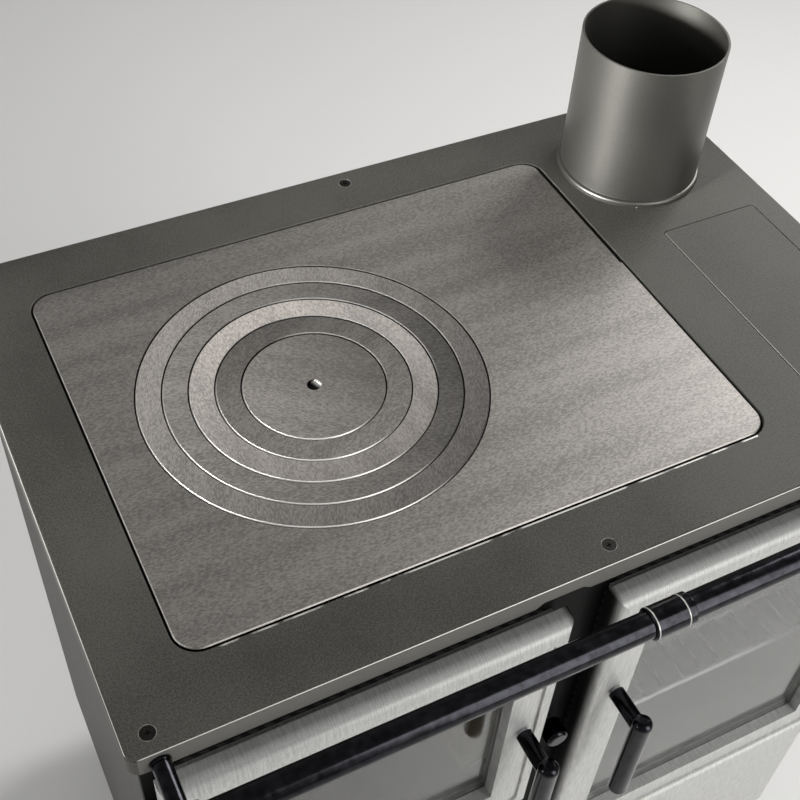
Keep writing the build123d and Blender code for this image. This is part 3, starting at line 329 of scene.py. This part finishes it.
def stove_paint(name, dark, light, roughness, strength=0.16, shine=0.3):
    """Sprayed heat-proof paint: its material, tree, shader, coordinates and colour."""
    material, tree, shader, place = start_finish(name, Specular_IOR_Level=shine)
    grit = add(tree, "ShaderNodeTexNoise", {"Vector": place, "Scale": 1 / GRIT, "Detail": 2.0}).outputs["Fac"]
    patches = add(tree, "ShaderNodeTexNoise", {"Vector": place, "Scale": 1 / PATCH,
                                               "Detail": 4.0}).outputs["Fac"]
    pattern = add(tree, "ShaderNodeMix", {0: PATCH_SHARE, 2: grit, 3: patches}).outputs[0]
    colour = tint(tree, pattern, dark, light, *PAINT_CONTRAST)
    tree.links.new(colour, shader.inputs["Base Color"])
    gloss = add(tree, "ShaderNodeMapRange", {"Value": patches, "To Min": roughness - GLOSS_SPREAD,
                                             "To Max": roughness + GLOSS_SPREAD})
    tree.links.new(gloss.outputs["Result"], shader.inputs["Roughness"])
    emboss(tree, shader, grit, strength, GRIT_DEPTH)
    return material, tree, shader, place, colour


def brighten_to_metal(paint, mask, metal):
    """Paint that turns to a bright, partly metallic colour where the mask is 1."""
    material, tree, shader, _, colour = paint
    tree.links.new(cover(tree, colour, metal, mask), shader.inputs["Base Color"])
    metal_share = add(tree, "ShaderNodeMath", {0: mask, 1: BRIGHT_METAL_SHARE}, operation="MULTIPLY")
    tree.links.new(metal_share.outputs["Value"], shader.inputs["Metallic"])
    return material


# %% [markdown]
# ### Wear and painted light on the top frame and the hatch
#
# The lip's front face is painted paler, as painted light from the front. A painted highlight in the colour of
# bare steel runs along the lip's rounded edge. The paint is rubbed through to steel in dashes along the front
# of the hotplate's opening, where the plate is dragged out. The soot hatch has a bright line along its left
# edge only. All of these lines are masks made from distances, so they keep their real width, and a noise
# breaks the dashes up.

# %% Top frame: wear and painted light
LIP_FACE = 0.5 * MM
LIP_HIGHLIGHT_BAND = 1.0 * MM
LIP_OUTSIDE = 1.0 * MM
LIP_FACE_LIGHT = 0.5
OPENING_GAP = 2.0 * MM
OPENING_RUB = 2.0 * MM
DASH = 22 * MM
DASH_CONTRAST = (0.4, 0.5)
PLATE_CORNER = 20 * MM
top_paint = stove_paint("charcoal_stove_paint_with_wear_and_painted_light", "#3e3d39", "#54534e", 0.46, shine=0.18)
tree, place = top_paint[1], top_paint[3]
axes = add(tree, "ShaderNodeSeparateXYZ", {"Vector": place})
# Painted light: the lip's front face is painted paler.
lip_face = add(tree, "ShaderNodeMath", {0: axes.outputs["Y"], 1: top_low.y + LIP_FACE}, operation="LESS_THAN")
polished = add(tree, "ShaderNodeMath", {0: lip_face.outputs["Value"], 1: LIP_FACE_LIGHT}, operation="MULTIPLY")
top_paint = (*top_paint[:4], cover(tree, top_paint[4], "#84827d", polished.outputs["Value"]))
# Painted highlight: a line in bare-steel colour along the lip's rounded edge.
upper = add(tree, "ShaderNodeMath", {0: axes.outputs["Z"], 1: z_top - LIP_HIGHLIGHT_BAND}, operation="GREATER_THAN")
lip = edge_band(tree, place, top_low, top_high, -LIP_HIGHLIGHT_BAND, LIP_OUTSIDE)
lip_highlight = add(tree, "ShaderNodeMath", {0: lip, 1: upper.outputs["Value"]}, operation="MULTIPLY")
ends = Vector((PLATE_CORNER, 0.0, 0.0))
opening = edge_band(tree, place, plate_low + ends, plate_high - ends, OPENING_GAP, OPENING_GAP + OPENING_RUB)
in_front = add(tree, "ShaderNodeMath", {0: axes.outputs["Y"], 1: plate_low.y}, operation="LESS_THAN")
drags = add(tree, "ShaderNodeTexNoise", {"Vector": place, "Scale": 1 / DASH, "Detail": 3.0})
dashes = add(tree, "ShaderNodeMapRange", {"Value": drags.outputs["Fac"], "From Min": DASH_CONTRAST[0],
                                          "From Max": DASH_CONTRAST[1]})
dragged = add(tree, "ShaderNodeMath", {0: opening, 1: in_front.outputs["Value"]}, operation="MULTIPLY")
dash_line = add(tree, "ShaderNodeMath", {0: dragged.outputs["Value"], 1: dashes.outputs["Result"]},
                operation="MULTIPLY")
# The painted highlight on the lip and the worn dashes on the opening, together.
wear_and_highlight = add(tree, "ShaderNodeMath", {0: lip_highlight.outputs["Value"], 1: dash_line.outputs["Value"]},
           operation="MAXIMUM")
dress(brighten_to_metal(top_paint, wear_and_highlight.outputs["Value"], "#d0cec8"), "top_frame")

# %% Soot hatch, casing and flue collar
HATCH_BRIGHT_LINE = 0.7 * MM
HATCH_OUTSIDE = 0.1 * MM
# The outline for the mask is wider than the hatch on three sides, so that only its left edge gets the bright
# line.
WIDER = 10 * MM
hatch_low, hatch_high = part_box("soot_hatch")
mask_low = hatch_low - Vector((0.0, WIDER, 0.0))
mask_high = hatch_high + Vector((WIDER, WIDER, 0.0))
hatch_paint = stove_paint("charcoal_stove_paint", "#3e3d39", "#53524d", 0.48, shine=0.18)
hatch_rim = edge_band(hatch_paint[1], hatch_paint[3], mask_low, mask_high, -HATCH_BRIGHT_LINE, HATCH_OUTSIDE)
dress(brighten_to_metal(hatch_paint, hatch_rim, "#8d8b86"), "soot_hatch")

panel_paint = stove_paint("charcoal_panel_paint", "#3e3d3a", "#4c4b47", 0.52)
dress(panel_paint[0], "left_side_panel", "right_side_panel", "back_panel")
black_paint = stove_paint("matt_black_stove_paint", "#1f1f1e", "#2b2a2a", 0.75, shine=0.1)
dress(black_paint[0], "front_frame", "plinth", "base_plate", "firebox_hinge", "oven_hinge", "hotplate_seat",
      "hatch_ledge")
# The collar's paint is smoother and shines more like metal, so it has less bump and is nearly all metal.
flue_paint = stove_paint("satin_flue_paint", "#5f5e5a", "#666560", 0.43, strength=0.05, shine=0.5)
flue_paint[2].inputs["Metallic"].default_value = 0.92
dress(flue_paint[0], "flue_collar")

# %% [markdown]
# ## Metallic grey: doors and drawer fronts
#
# The fronts are pressed shells in a metallic stove paint. Its aluminium flake makes the rolled edges flash
# where they face the light, and it was rubbed down before baking, so fine marks run up and over the roll.
# The shader is half metal for that flash. One noise is the flake and another, drawn out from top to bottom,
# the rubbing. The edges that face each other across the narrow gap between the doors are painted black, as
# painted shade.

# %% Metallic grey paint
# Flake and marks are finer than a tenth of a millimetre on a real door; they are drawn coarser so that they
# show.
FLAKE = 0.9 * MM
MARK_WIDTH = 1.1 * MM
MARK_LENGTH = 18 * MM
MARK_SHARE = 0.6
MARK_DEPTH = 0.3 * MM
MARK_BUMP = 0.14
FRONT_CONTRAST = (0.36, 0.64)
FRONT_ROUGHNESS = (0.42, 0.58)
# The painted shade on the doors' facing edges is full up to the first distance from the gap between the doors
# and gone at the second.
GAP_SHADE_FULL_TO = 0.5 * MM
GAP_SHADE_GONE_AT = 6 * MM
fronts, tree, shader, place = start_finish("metallic_grey_stove_paint", Metallic=0.5)
flake = add(tree, "ShaderNodeTexNoise", {"Vector": place, "Scale": 1 / FLAKE, "Detail": 1.0}).outputs["Fac"]
drawn = add(tree, "ShaderNodeMapping", {"Vector": place,
                                        "Scale": (1 / MARK_WIDTH, 1 / MARK_LENGTH, 1 / MARK_LENGTH)})
marks = add(tree, "ShaderNodeTexNoise", {"Vector": drawn.outputs["Vector"], "Scale": 1.0, "Detail": 3.0})
pattern = add(tree, "ShaderNodeMix", {0: MARK_SHARE, 2: flake, 3: marks.outputs["Fac"]}).outputs[0]
gap_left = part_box("firebox_door")[1].x
oven_door_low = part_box("oven_door")[0]
half_gap = (oven_door_low.x - gap_left) / 2
axes = add(tree, "ShaderNodeSeparateXYZ", {"Vector": place})
from_gap = add(tree, "ShaderNodeMath", {0: axes.outputs["X"], 1: (gap_left + oven_door_low.x) / 2},
               operation="SUBTRACT")
away = add(tree, "ShaderNodeMath", {0: from_gap.outputs["Value"]}, operation="ABSOLUTE")
gap_painted_shade = add(tree, "ShaderNodeMapRange", {"Value": away.outputs["Value"],
                                             "From Min": half_gap + GAP_SHADE_FULL_TO,
                                             "From Max": half_gap + GAP_SHADE_GONE_AT, "To Min": 1.0, "To Max": 0.0})
above = add(tree, "ShaderNodeMath", {0: axes.outputs["Z"], 1: oven_door_low.z}, operation="GREATER_THAN")
gap_shade_mask = add(tree, "ShaderNodeMath", {0: gap_painted_shade.outputs["Result"], 1: above.outputs["Value"]},
                operation="MULTIPLY")
painted = tint(tree, pattern, "#b6b6b4", "#d8d8d5", *FRONT_CONTRAST)
# Painted shade: the door ends that face the gap are painted near-black.
tree.links.new(cover(tree, painted, "#161615", gap_shade_mask.outputs["Value"]), shader.inputs["Base Color"])
gloss = add(tree, "ShaderNodeMapRange", {"Value": pattern, "To Min": FRONT_ROUGHNESS[0],
                                         "To Max": FRONT_ROUGHNESS[1]})
tree.links.new(gloss.outputs["Result"], shader.inputs["Roughness"])
emboss(tree, shader, pattern, MARK_BUMP, MARK_DEPTH)
dress(fronts, "firebox_door", "oven_door", "ash_drawer_front", "wood_drawer_front")

# %% [markdown]
# ## Bright metal: the rail, the handles and the plain steel
#
# The rail and the handles are plated in a dark, bluish chrome. It is a mirror, so its look is what it
# reflects, with a faint unevenness from the polished tube under it. The screws of the top are blackened
# steel with turning marks, drawn coarse enough to show. Zinc-plated steel is duller and has soft grey
# spangles, which cells of a Voronoi pattern give better than a noise.

# %% Dark chrome
SMEAR = 7 * MM
CHROME_ROUGHNESS = (0.06, 0.3)
chrome, tree, shader, place = start_finish("dark_chrome_plate", Metallic=1.0)
smears = add(tree, "ShaderNodeTexNoise", {"Vector": place, "Scale": 1 / SMEAR, "Detail": 3.0}).outputs["Fac"]
tree.links.new(tint(tree, smears, "#202022", "#323236"), shader.inputs["Base Color"])
gloss = add(tree, "ShaderNodeMapRange", {"Value": smears, "To Min": CHROME_ROUGHNESS[0],
                                         "To Max": CHROME_ROUGHNESS[1]})
tree.links.new(gloss.outputs["Result"], shader.inputs["Roughness"])
dress(chrome, "rail_tube", "rail_sleeve", "rail_brackets", "firebox_door_handle", "oven_door_handle",
      "ash_drawer_handle", "wood_drawer_handle", "damper_knob", "air_slide")

# %% Blackened and zinc-plated steel
TURNED = 1.0 * MM
blackened, tree, shader, place = start_finish("blackened_steel", Metallic=0.8, Roughness=0.35)
turning = add(tree, "ShaderNodeTexNoise", {"Vector": place, "Scale": 1 / TURNED, "Detail": 2.0})
tree.links.new(tint(tree, turning.outputs["Fac"], "#1c1b1a", "#33312f"), shader.inputs["Base Color"])
dress(blackened, "top_screws", "rail_bolts")

SPANGLE = 12 * MM
zinc, tree, shader, place = start_finish("zinc_plated_steel", Metallic=0.9, Roughness=0.42)
spangles = add(tree, "ShaderNodeTexVoronoi", {"Vector": place, "Scale": 1 / SPANGLE})
tree.links.new(tint(tree, spangles.outputs["Distance"], "#9b9da0", "#adafb1"), shader.inputs["Base Color"])
dress(zinc, "rear_rail", "mid_shelf", "drawer_runners", "firebox_door_latch", "oven_door_latch",
      "damper_slide", "damper_guide", "air_guides", "firebox_glass_retainer", "oven_glass_retainer", "ash_pan",
      "wood_drawer_box", "oven_rack", "oven_runners")

# %% [markdown]
# ## Inside: fire-blackened iron, firebrick, enamel, rope and glass
#
# These are seen through the glass and when a door is open. Iron near the fire goes dull black with a rusty
# bloom. Pressed fireclay is sandy and pale, and soot darkens it towards the top. Oven enamel is a glassy
# dark blue-black with pale specks. The door seal is a woven glass-fibre rope, and the panes are clear
# ceramic glass with a faint haze from the smoke.

# %% Fire-blackened iron
RELIEF = 1 * MM
BLOOM = 33 * MM
iron, tree, shader, place = start_finish("fire_blackened_cast_iron", Roughness=0.8)
bloom = add(tree, "ShaderNodeTexNoise", {"Vector": place, "Scale": 1 / BLOOM, "Detail": 5.0}).outputs["Fac"]
tree.links.new(tint(tree, bloom, "#1d1c1b", "#3a322c"), shader.inputs["Base Color"])
emboss(tree, shader, bloom, 0.3, RELIEF)
dress(iron, "firebox_shell", "ash_pit_floor", "grate_frame", "grate")

# %% Firebrick
CLAY = 4 * MM
SOOT_CLOUD = 70 * MM
# What is added to the soot clouds at the bottom and at the top of a brick.
SOOT_RISE = (-0.25, 0.45)
brick_low, brick_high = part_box("back_firebrick")
brick, tree, shader, place = start_finish("pressed_fireclay", Roughness=0.95)
clay = add(tree, "ShaderNodeTexNoise", {"Vector": place, "Scale": 1 / CLAY, "Detail": 5.0}).outputs["Fac"]
clouds = add(tree, "ShaderNodeTexNoise", {"Vector": place, "Scale": 1 / SOOT_CLOUD,
                                          "Detail": 3.0}).outputs["Fac"]
height = add(tree, "ShaderNodeSeparateXYZ", {"Vector": place}).outputs["Z"]
rise = add(tree, "ShaderNodeMapRange", {"Value": height, "From Min": brick_low.z, "From Max": brick_high.z,
                                        "To Min": SOOT_RISE[0], "To Max": SOOT_RISE[1]})
soot = add(tree, "ShaderNodeMath", {0: clouds, 1: rise.outputs["Result"]}, operation="ADD", use_clamp=True)
tree.links.new(cover(tree, tint(tree, clay, "#b4966c", "#d8c29b"), "#2a2522", soot.outputs["Value"]),
               shader.inputs["Base Color"])
emboss(tree, shader, clay, 0.4, RELIEF)
dress(brick, "side_firebricks", "back_firebrick")

# %% Oven enamel
SPECK_SPACING = 6 * MM
# Shares of the spacing at which a speck starts and ends to fade into the dark glaze.
SPECK_EDGE = (0.02, 0.1)
enamel, tree, shader, place = start_finish("speckled_oven_enamel", Roughness=0.18, Coat_Weight=0.5)
specks = add(tree, "ShaderNodeTexVoronoi", {"Vector": place, "Scale": 1 / SPECK_SPACING})
speckled = tint(tree, specks.outputs["Distance"], "#b9bcc4", "#1a1c22", *SPECK_EDGE)
tree.links.new(speckled, shader.inputs["Base Color"])
dress(enamel, "oven_liner", "oven_tray")

# %% Rope seal and glass
STRAND = 20 * MM
rope, tree, shader, place = start_finish("woven_glass_fibre_rope", Roughness=0.9)
weave = add(tree, "ShaderNodeTexWave", {"Vector": place, "Scale": 1 / STRAND, "Distortion": 1.0},
            bands_direction="DIAGONAL").outputs["Fac"]
tree.links.new(tint(tree, weave, "#232323", "#474644"), shader.inputs["Base Color"])
emboss(tree, shader, weave, 0.6, RELIEF)
dress(rope, "firebox_door_seal", "oven_door_seal")

HAZE = 80 * MM
HAZE_ROUGHNESS = 0.08
glass, tree, shader, place = start_finish("clear_ceramic_glass", Transmission_Weight=1.0, IOR=1.5,
                                          Base_Color=linear("#e6e7e4"))
haze = add(tree, "ShaderNodeTexNoise", {"Vector": place, "Scale": 1 / HAZE, "Detail": 4.0})
film = add(tree, "ShaderNodeMapRange", {"Value": haze.outputs["Fac"], "To Min": 0.0, "To Max": HAZE_ROUGHNESS})
tree.links.new(film.outputs["Result"], shader.inputs["Roughness"])
dress(glass, "firebox_glass", "oven_glass")

# %% [markdown]
# ## Steel that shows through on the small pieces
#
# The rings on the rail's sleeve are bare steel. The paint round the screws has chipped, so steel and paint
# mix there, and the hook keeps the disc's recess rubbed to iron; its deep end is painted black as painted
# shade. One noise of fine scratches serves all three, because each of them is only a few millimetres across.

# %% Bare steel, chipped paint, and rubbed iron with painted shade
SCRATCH = 3 * MM
# Depths below the top between which the recess goes from all painted shade to none.
RECESS_PAINTED_SHADE = (3.4 * MM, 1.8 * MM)


def scratched(name, dark, light, **values):
    """A scratched metal: its material, tree, shader, coordinates and colour."""
    material, tree, shader, place = start_finish(name, **values)
    scratches = add(tree, "ShaderNodeTexNoise", {"Vector": place, "Scale": 1 / SCRATCH, "Detail": 3.0})
    colour = tint(tree, scratches.outputs["Fac"], dark, light)
    tree.links.new(colour, shader.inputs["Base Color"])
    print("scratched metal:", name)
    return material, tree, shader, place, colour


bare = scratched("bare_steel", "#a9a7a2", "#d6d4ce", Metallic=0.45, Roughness=0.4)[0]
chipped = scratched("chipped_stove_paint", "#4a4946", "#a9a7a2", Metallic=0.3, Roughness=0.5)[0]
rubbed, tree, shader, place, worn_iron = scratched("rubbed_cast_iron_with_painted_shade", "#b9b7b2", "#dcdad5", Metallic=0.3,
                                                   Roughness=0.5)
# Painted shade: the recess goes black towards its deep end.
height = add(tree, "ShaderNodeSeparateXYZ", {"Vector": place}).outputs["Z"]
soot_and_shade = add(tree, "ShaderNodeMapRange", {"Value": height, "From Min": z_top - RECESS_PAINTED_SHADE[0],
                                         "From Max": z_top - RECESS_PAINTED_SHADE[1], "To Min": 1.0, "To Max": 0.0})
tree.links.new(cover(tree, worn_iron, SOOT_AND_SHADE_BLACK, soot_and_shade.outputs["Result"]), shader.inputs["Base Color"])

# %% [markdown]
# ## Small pieces on the top
#
# The lifting hook goes into a recess in the centre disc whose floor slopes up to the surface, so that the
# hook slides out sideways. Round each countersunk screw the paint has chipped to a thin bright ring, the
# collar's foot has a drop of weld metal on it and its seam is a rippled weld up the back. Round bands are a
# small profile spun once round an axis, which gives an exact circle with few faces. The recess is a short
# cylinder cut by a sloping plane, and the weld is a circle extruded again and again, a little wider and
# narrower in turn.


# %% Piece helpers
def finish_piece(name, mesh, material, body):
    """Turns a bmesh into a piece that rides on a body."""
    bmesh.ops.recalc_face_normals(mesh, faces=mesh.faces)
    data = bpy.data.meshes.new(name)
    mesh.to_mesh(data)
    mesh.free()
    data.materials.append(material)
    piece = bpy.data.objects.new(name, data)
    bpy.context.scene.collection.objects.link(piece)
    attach(piece, body)
    print(name + ":", len(data.polygons), "faces")


def spin_band(mesh, profile, centre, axis, steps):
    """Spins a closed profile once round an axis."""
    corners = [mesh.verts.new(point) for point in profile]
    sides = [mesh.edges.new((corners[i - 1], corners[i])) for i in range(len(corners))]
    bmesh.ops.spin(mesh, geom=corners + sides, cent=centre, axis=axis, angle=2 * math.pi, steps=steps,
                   use_merge=True)


# %% Lifting recess in the centre disc
HOLE_R = 6.3 * MM
HOLE_PLAY = 0.05 * MM
RECESS_DEPTH = 6.0 * MM
RECESS_BELOW = 0.4 * MM
RECESS_RISE = Vector((0.93, 0.38, 0.0))
RECESS_SLOPE = 0.75
# The slope reaches the surface at this share of the hole's radius.
RECESS_END = 0.9
recess = bmesh.new()
recess_middle = (ring_centre.x, ring_centre.y, z_top - RECESS_DEPTH / 2 - RECESS_BELOW)
bmesh.ops.create_cone(recess, cap_ends=True, segments=48, radius1=HOLE_R - HOLE_PLAY,
                      radius2=HOLE_R - HOLE_PLAY, depth=RECESS_DEPTH, matrix=Matrix.Translation(recess_middle))
slope_normal = (Vector((0.0, 0.0, 1.0)) - RECESS_RISE * RECESS_SLOPE).normalized()
slope_point = Vector((ring_centre.x, ring_centre.y, z_top)) + RECESS_RISE * HOLE_R * RECESS_END
cut = bmesh.ops.bisect_plane(recess, geom=recess.verts[:] + recess.edges[:] + recess.faces[:],
                             plane_co=slope_point, plane_no=slope_normal, clear_outer=True)
cut_edges = [g for g in cut["geom_cut"] if isinstance(g, bmesh.types.BMEdge)]
bmesh.ops.holes_fill(recess, edges=cut_edges, sides=0)
finish_piece("lifting_recess", recess, rubbed, "centre_disc")

# %% Chipped rims round the screws
HEAD_R = 5.7 * MM
SINK_R = 6.0 * MM
CHIP = 0.35 * MM
CHIP_PROUD = 0.08 * MM
CHIP_SUNK = 0.2 * MM
CHIP_UNDERCUT = 0.05 * MM
screw_low, screw_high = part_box("top_screws")
rims = bmesh.new()
for x in (screw_low.x + HEAD_R, 0.0, screw_high.x - HEAD_R):
    for y in (screw_low.y + HEAD_R, screw_high.y - HEAD_R):
        profile = [(x + SINK_R - CHIP_UNDERCUT, y, z_top - CHIP_SUNK), (x + SINK_R, y, z_top + CHIP_PROUD),
                   (x + SINK_R + CHIP, y, z_top + CHIP_PROUD), (x + SINK_R + CHIP, y, z_top - CHIP_SUNK)]
        spin_band(rims, profile, (x, y, z_top), (0, 0, 1), 40)
finish_piece("screw_rims", rims, chipped, "stove_body")

# %% Weld drop on the flue collar
DROP_R = 71.5 * MM
DROP = 2.2 * MM
DROP_LIFT = 0.8 * MM
DROP_FLATNESS = 0.7
DROP_ANGLE = math.radians(-115.8)
flue_low, flue_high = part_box("flue_collar")
flue = (flue_low + flue_high) / 2
weld = bmesh.new()
drop_at = (flue.x + DROP_R * math.cos(DROP_ANGLE), flue.y + DROP_R * math.sin(DROP_ANGLE), z_top + DROP_LIFT)
drop_shape = Matrix.Translation(drop_at) @ Matrix.Diagonal((1.0, 1.0, DROP_FLATNESS, 1.0))
bmesh.ops.create_uvsphere(weld, u_segments=16, v_segments=8, radius=DROP, matrix=drop_shape)
print("weld drop at:", [round(v, 4) for v in drop_at])

# %% Weld seam up the back of the collar
FLUE_R = 70 * MM
SEAM_ANGLE = math.radians(60)
SEAM_R = 1.5 * MM
SEAM_START = 5 * MM
RIPPLE = 1.4 * MM
SWELL = 1.2
seam_foot = Vector((flue.x + FLUE_R * math.cos(SEAM_ANGLE), flue.y + FLUE_R * math.sin(SEAM_ANGLE),
                    z_top + SEAM_START))
start = bmesh.ops.create_circle(weld, cap_ends=True, segments=10, radius=SEAM_R,
                                matrix=Matrix.Translation(seam_foot))
loop = list({edge for vert in start["verts"] for edge in vert.link_edges})
for i in range(int((flue_high.z - seam_foot.z - RIPPLE) / RIPPLE)):
    made = bmesh.ops.extrude_edge_only(weld, edges=loop)["geom"]
    fresh = [g for g in made if isinstance(g, bmesh.types.BMVert)]
    loop = [g for g in made if isinstance(g, bmesh.types.BMEdge) and all(v in fresh for v in g.verts)]
    bmesh.ops.translate(weld, verts=fresh, vec=(0, 0, RIPPLE))
    swell = SWELL if i % 2 == 0 else 1 / SWELL
    bmesh.ops.scale(weld, vec=(swell, swell, 1.0), verts=fresh, space=Matrix.Translation(-seam_foot))
bmesh.ops.holes_fill(weld, edges=loop, sides=0)
finish_piece("collar_weld", weld, flue_paint[0], "stove_body")

# %% [markdown]
# ## Small pieces on the front, the back and inside the doors
#
# The rail's sleeve is closed by two thin polished rings. The back panel is held by hexagon screws on washers,
# and pan-head screws press each glass retainer into its door. A screw is a cone operator with equal radii,
# whose outer edges a bevel rounds off.

# %% Rings on the rail's sleeve
RING_W = 1.4 * MM
RING_PROUD = 0.35 * MM
RING_SUNK = 0.3 * MM
RING_SHOULDER = 0.2
LEFT_RING_IN = 1.2 * MM
RIGHT_RING_IN = 8 * MM
rail_low, rail_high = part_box("rail_tube")
sleeve_low, sleeve_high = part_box("rail_sleeve")
rail_axis = (rail_low + rail_high) / 2
sleeve_r = (sleeve_high.z - sleeve_low.z) / 2
radii = (sleeve_r - RING_SUNK, sleeve_r + RING_PROUD, sleeve_r + RING_PROUD, sleeve_r - RING_SUNK)
offsets = (0.0, RING_SHOULDER * RING_W, (1 - RING_SHOULDER) * RING_W, RING_W)
sleeve_rings = bmesh.new()
for x in (sleeve_low.x + LEFT_RING_IN, sleeve_high.x - RIGHT_RING_IN):
    profile = [(x + dx, rail_axis.y, rail_axis.z + r) for dx, r in zip(offsets, radii)]
    spin_band(sleeve_rings, profile, rail_axis, (1, 0, 0), 48)
finish_piece("sleeve_rings", sleeve_rings, bare, "stove_body")


# %% Screws on the back panel
SCREW_BEVEL = 0.3
LEVEL_SLACK = 0.01 * MM


def add_screw(mesh, foot, radius, height, sides):
    """A screw head that points to +Y, with its outer edges rounded."""
    turn = Matrix.Rotation(math.radians(-90), 4, "X")
    middle = Matrix.Translation(Vector(foot) + Vector((0.0, height / 2, 0.0)))
    made = bmesh.ops.create_cone(mesh, cap_ends=True, segments=sides, radius1=radius, radius2=radius,
                                 depth=height, matrix=middle @ turn)
    outer = max(vert.co.y for vert in made["verts"]) - LEVEL_SLACK
    rim = [edge for vert in made["verts"] for edge in vert.link_edges
           if all(v.co.y > outer for v in edge.verts)]
    bmesh.ops.bevel(mesh, geom=list(set(rim)), offset=height * SCREW_BEVEL, offset_type="OFFSET",
                    affect="EDGES", segments=2, profile=0.5, material=-1)


# Radius and height of each head.
WASHER = (8 * MM, 1.2 * MM)
HEXAGON = (5.8 * MM, 4.0 * MM)
PANEL_ROWS = 6
PANEL_SIDE = 10 * MM
PANEL_END = 40 * MM
panel_low, panel_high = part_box("back_panel")
row_step = (panel_high.z - panel_low.z - 2 * PANEL_END) / (PANEL_ROWS - 1)
panel_screws = bmesh.new()
for x in (panel_low.x + PANEL_SIDE, panel_high.x - PANEL_SIDE):
    for row in range(PANEL_ROWS):
        z = panel_low.z + PANEL_END + row * row_step
        add_screw(panel_screws, (x, panel_high.y, z), *WASHER, 32)
        add_screw(panel_screws, (x, panel_high.y + WASHER[1], z), *HEXAGON, 6)
finish_piece("back_panel_screws", panel_screws, zinc, "stove_body")

# %% Screws in the doors
PAN_HEAD = (2.6 * MM, 1.8 * MM)
PAN_INSET = 3 * MM
for side in ("firebox", "oven"):
    low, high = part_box(side + "_glass_retainer")
    mid_x, mid_z = (low.x + high.x) / 2, (low.z + high.z) / 2
    screws = bmesh.new()
    for x in (low.x + PAN_INSET, mid_x, high.x - PAN_INSET):
        for z in (low.z + PAN_INSET, mid_z, high.z - PAN_INSET):
            if (x, z) != (mid_x, mid_z):
                add_screw(screws, (x, high.y, z), *PAN_HEAD, 20)
    finish_piece(side + "_retainer_screws", screws, zinc, side + "_door")

# %% [markdown]
# ## Studio
#
# A plain pale floor and an even white surround, dim enough that pale paint keeps its colour. A soft lamp on
# the right brightens that end of the ground iron. A tall one in front lights the lip, the front rims of the
# rings and the rolled door tops, below the rail as well as above it. A weak one fills in from the left, and a
# narrow spot from the same side puts the upright highlight on the flue collar, with little of it on the side
# panel.

# %% Floor and world
FLOOR_HALF = 6.0
SURROUND = 0.28
floor_mesh = bmesh.new()
bmesh.ops.create_grid(floor_mesh, x_segments=1, y_segments=1, size=FLOOR_HALF)
floor_data = bpy.data.meshes.new("floor")
floor_mesh.to_mesh(floor_data)
floor_mesh.free()
floor = bpy.data.objects.new("floor", floor_data)
bpy.context.scene.collection.objects.link(floor)
floor_data.materials.append(start_finish("pale_studio_floor", Roughness=0.9, Base_Color=linear("#e9e8e6"))[0])
floor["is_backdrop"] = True

world = bpy.data.worlds.new("studio")
bpy.context.scene.world = world
world.use_nodes = True
background = world.node_tree.nodes["Background"]
background.inputs["Color"].default_value = linear("#ffffff")
background.inputs["Strength"].default_value = SURROUND
print("floor:", 2 * FLOOR_HALF, "m wide, surround:", SURROUND)


# %% Lights
def hang_light(lamp, place, target):
    """Puts a lamp at place and turns it to face target."""
    made = bpy.data.objects.new(lamp.name, lamp)
    aim = (Vector(target) - Vector(place)).to_track_quat("-Z", "Y")
    made.matrix_world = Matrix.Translation(place) @ aim.to_matrix().to_4x4()
    bpy.context.scene.collection.objects.link(made)
    print(lamp.name + ":", lamp.energy, "W")


def soft_light(name, place, target, width, height, power):
    """An area lamp at place that faces target."""
    lamp = bpy.data.lights.new(name, "AREA")
    lamp.shape = "RECTANGLE"
    lamp.size = width
    lamp.size_y = height
    lamp.energy = power
    hang_light(lamp, place, target)


soft_light("right_window", (2.2, 0.8, 2.4), (0.1, 0.0, 0.85), 1.2, 1.2, 50)
soft_light("front_window", (1.2, -2.6, 1.9), (0.0, -0.2, 0.8), 1.4, 3.0, 62)
soft_light("left_window", (-2.4, 0.0, 1.4), (0.2, 0.1, 0.9), 0.8, 0.9, 20)

SPOT_AT = (-2.4, -0.35, 1.25)
SPOT_BELOW_RIM = 50 * MM
collar_spot = bpy.data.lights.new("collar_spot", "SPOT")
collar_spot.energy = 2300
collar_spot.spot_size = math.radians(7)
collar_spot.spot_blend = 0.6
collar_spot.shadow_soft_size = 0.2
hang_light(collar_spot, SPOT_AT, (flue.x, flue.y, flue_high.z - SPOT_BELOW_RIM))

# %% [markdown]
# ## Camera
#
# The camera stands in front and to the left of the stove at about head height and looks down on the hotplate.
# Its place, direction and lens come from fitting the hotplate, the rings, the screws and the flue to the
# photograph. Blender's camera looks along its own -Z with +Y upwards, so two of the directions change sign.

# %% Camera
RIGHT = Vector((0.89310, -0.44710, 0.04981))
DOWN = Vector((-0.30226, -0.67839, -0.66965))
AHEAD = Vector((0.33319, 0.58301, -0.74100))
CAMERA_AT = Vector((-0.42794, -0.65044, 1.62319))
FOCAL_PIXELS = 1238.4
PICTURE_PIXELS = 800
lens = bpy.data.cameras.new("camera")
lens.sensor_width = 36.0
lens.lens = FOCAL_PIXELS * lens.sensor_width / PICTURE_PIXELS
camera = bpy.data.objects.new("camera", lens)
turn = Matrix((RIGHT, -DOWN, -AHEAD)).transposed()
camera.matrix_world = Matrix.Translation(CAMERA_AT) @ turn.to_4x4()
bpy.context.scene.collection.objects.link(camera)
bpy.context.scene.camera = camera
bpy.context.scene.view_settings.view_transform = "Standard"
print("camera:", [round(v, 3) for v in CAMERA_AT], "lens:", round(lens.lens, 2), "mm")

# %% Sizes and the end
low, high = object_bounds()
print("visual box:", [round(v, 3) for corner in (low, high) for v in corner])
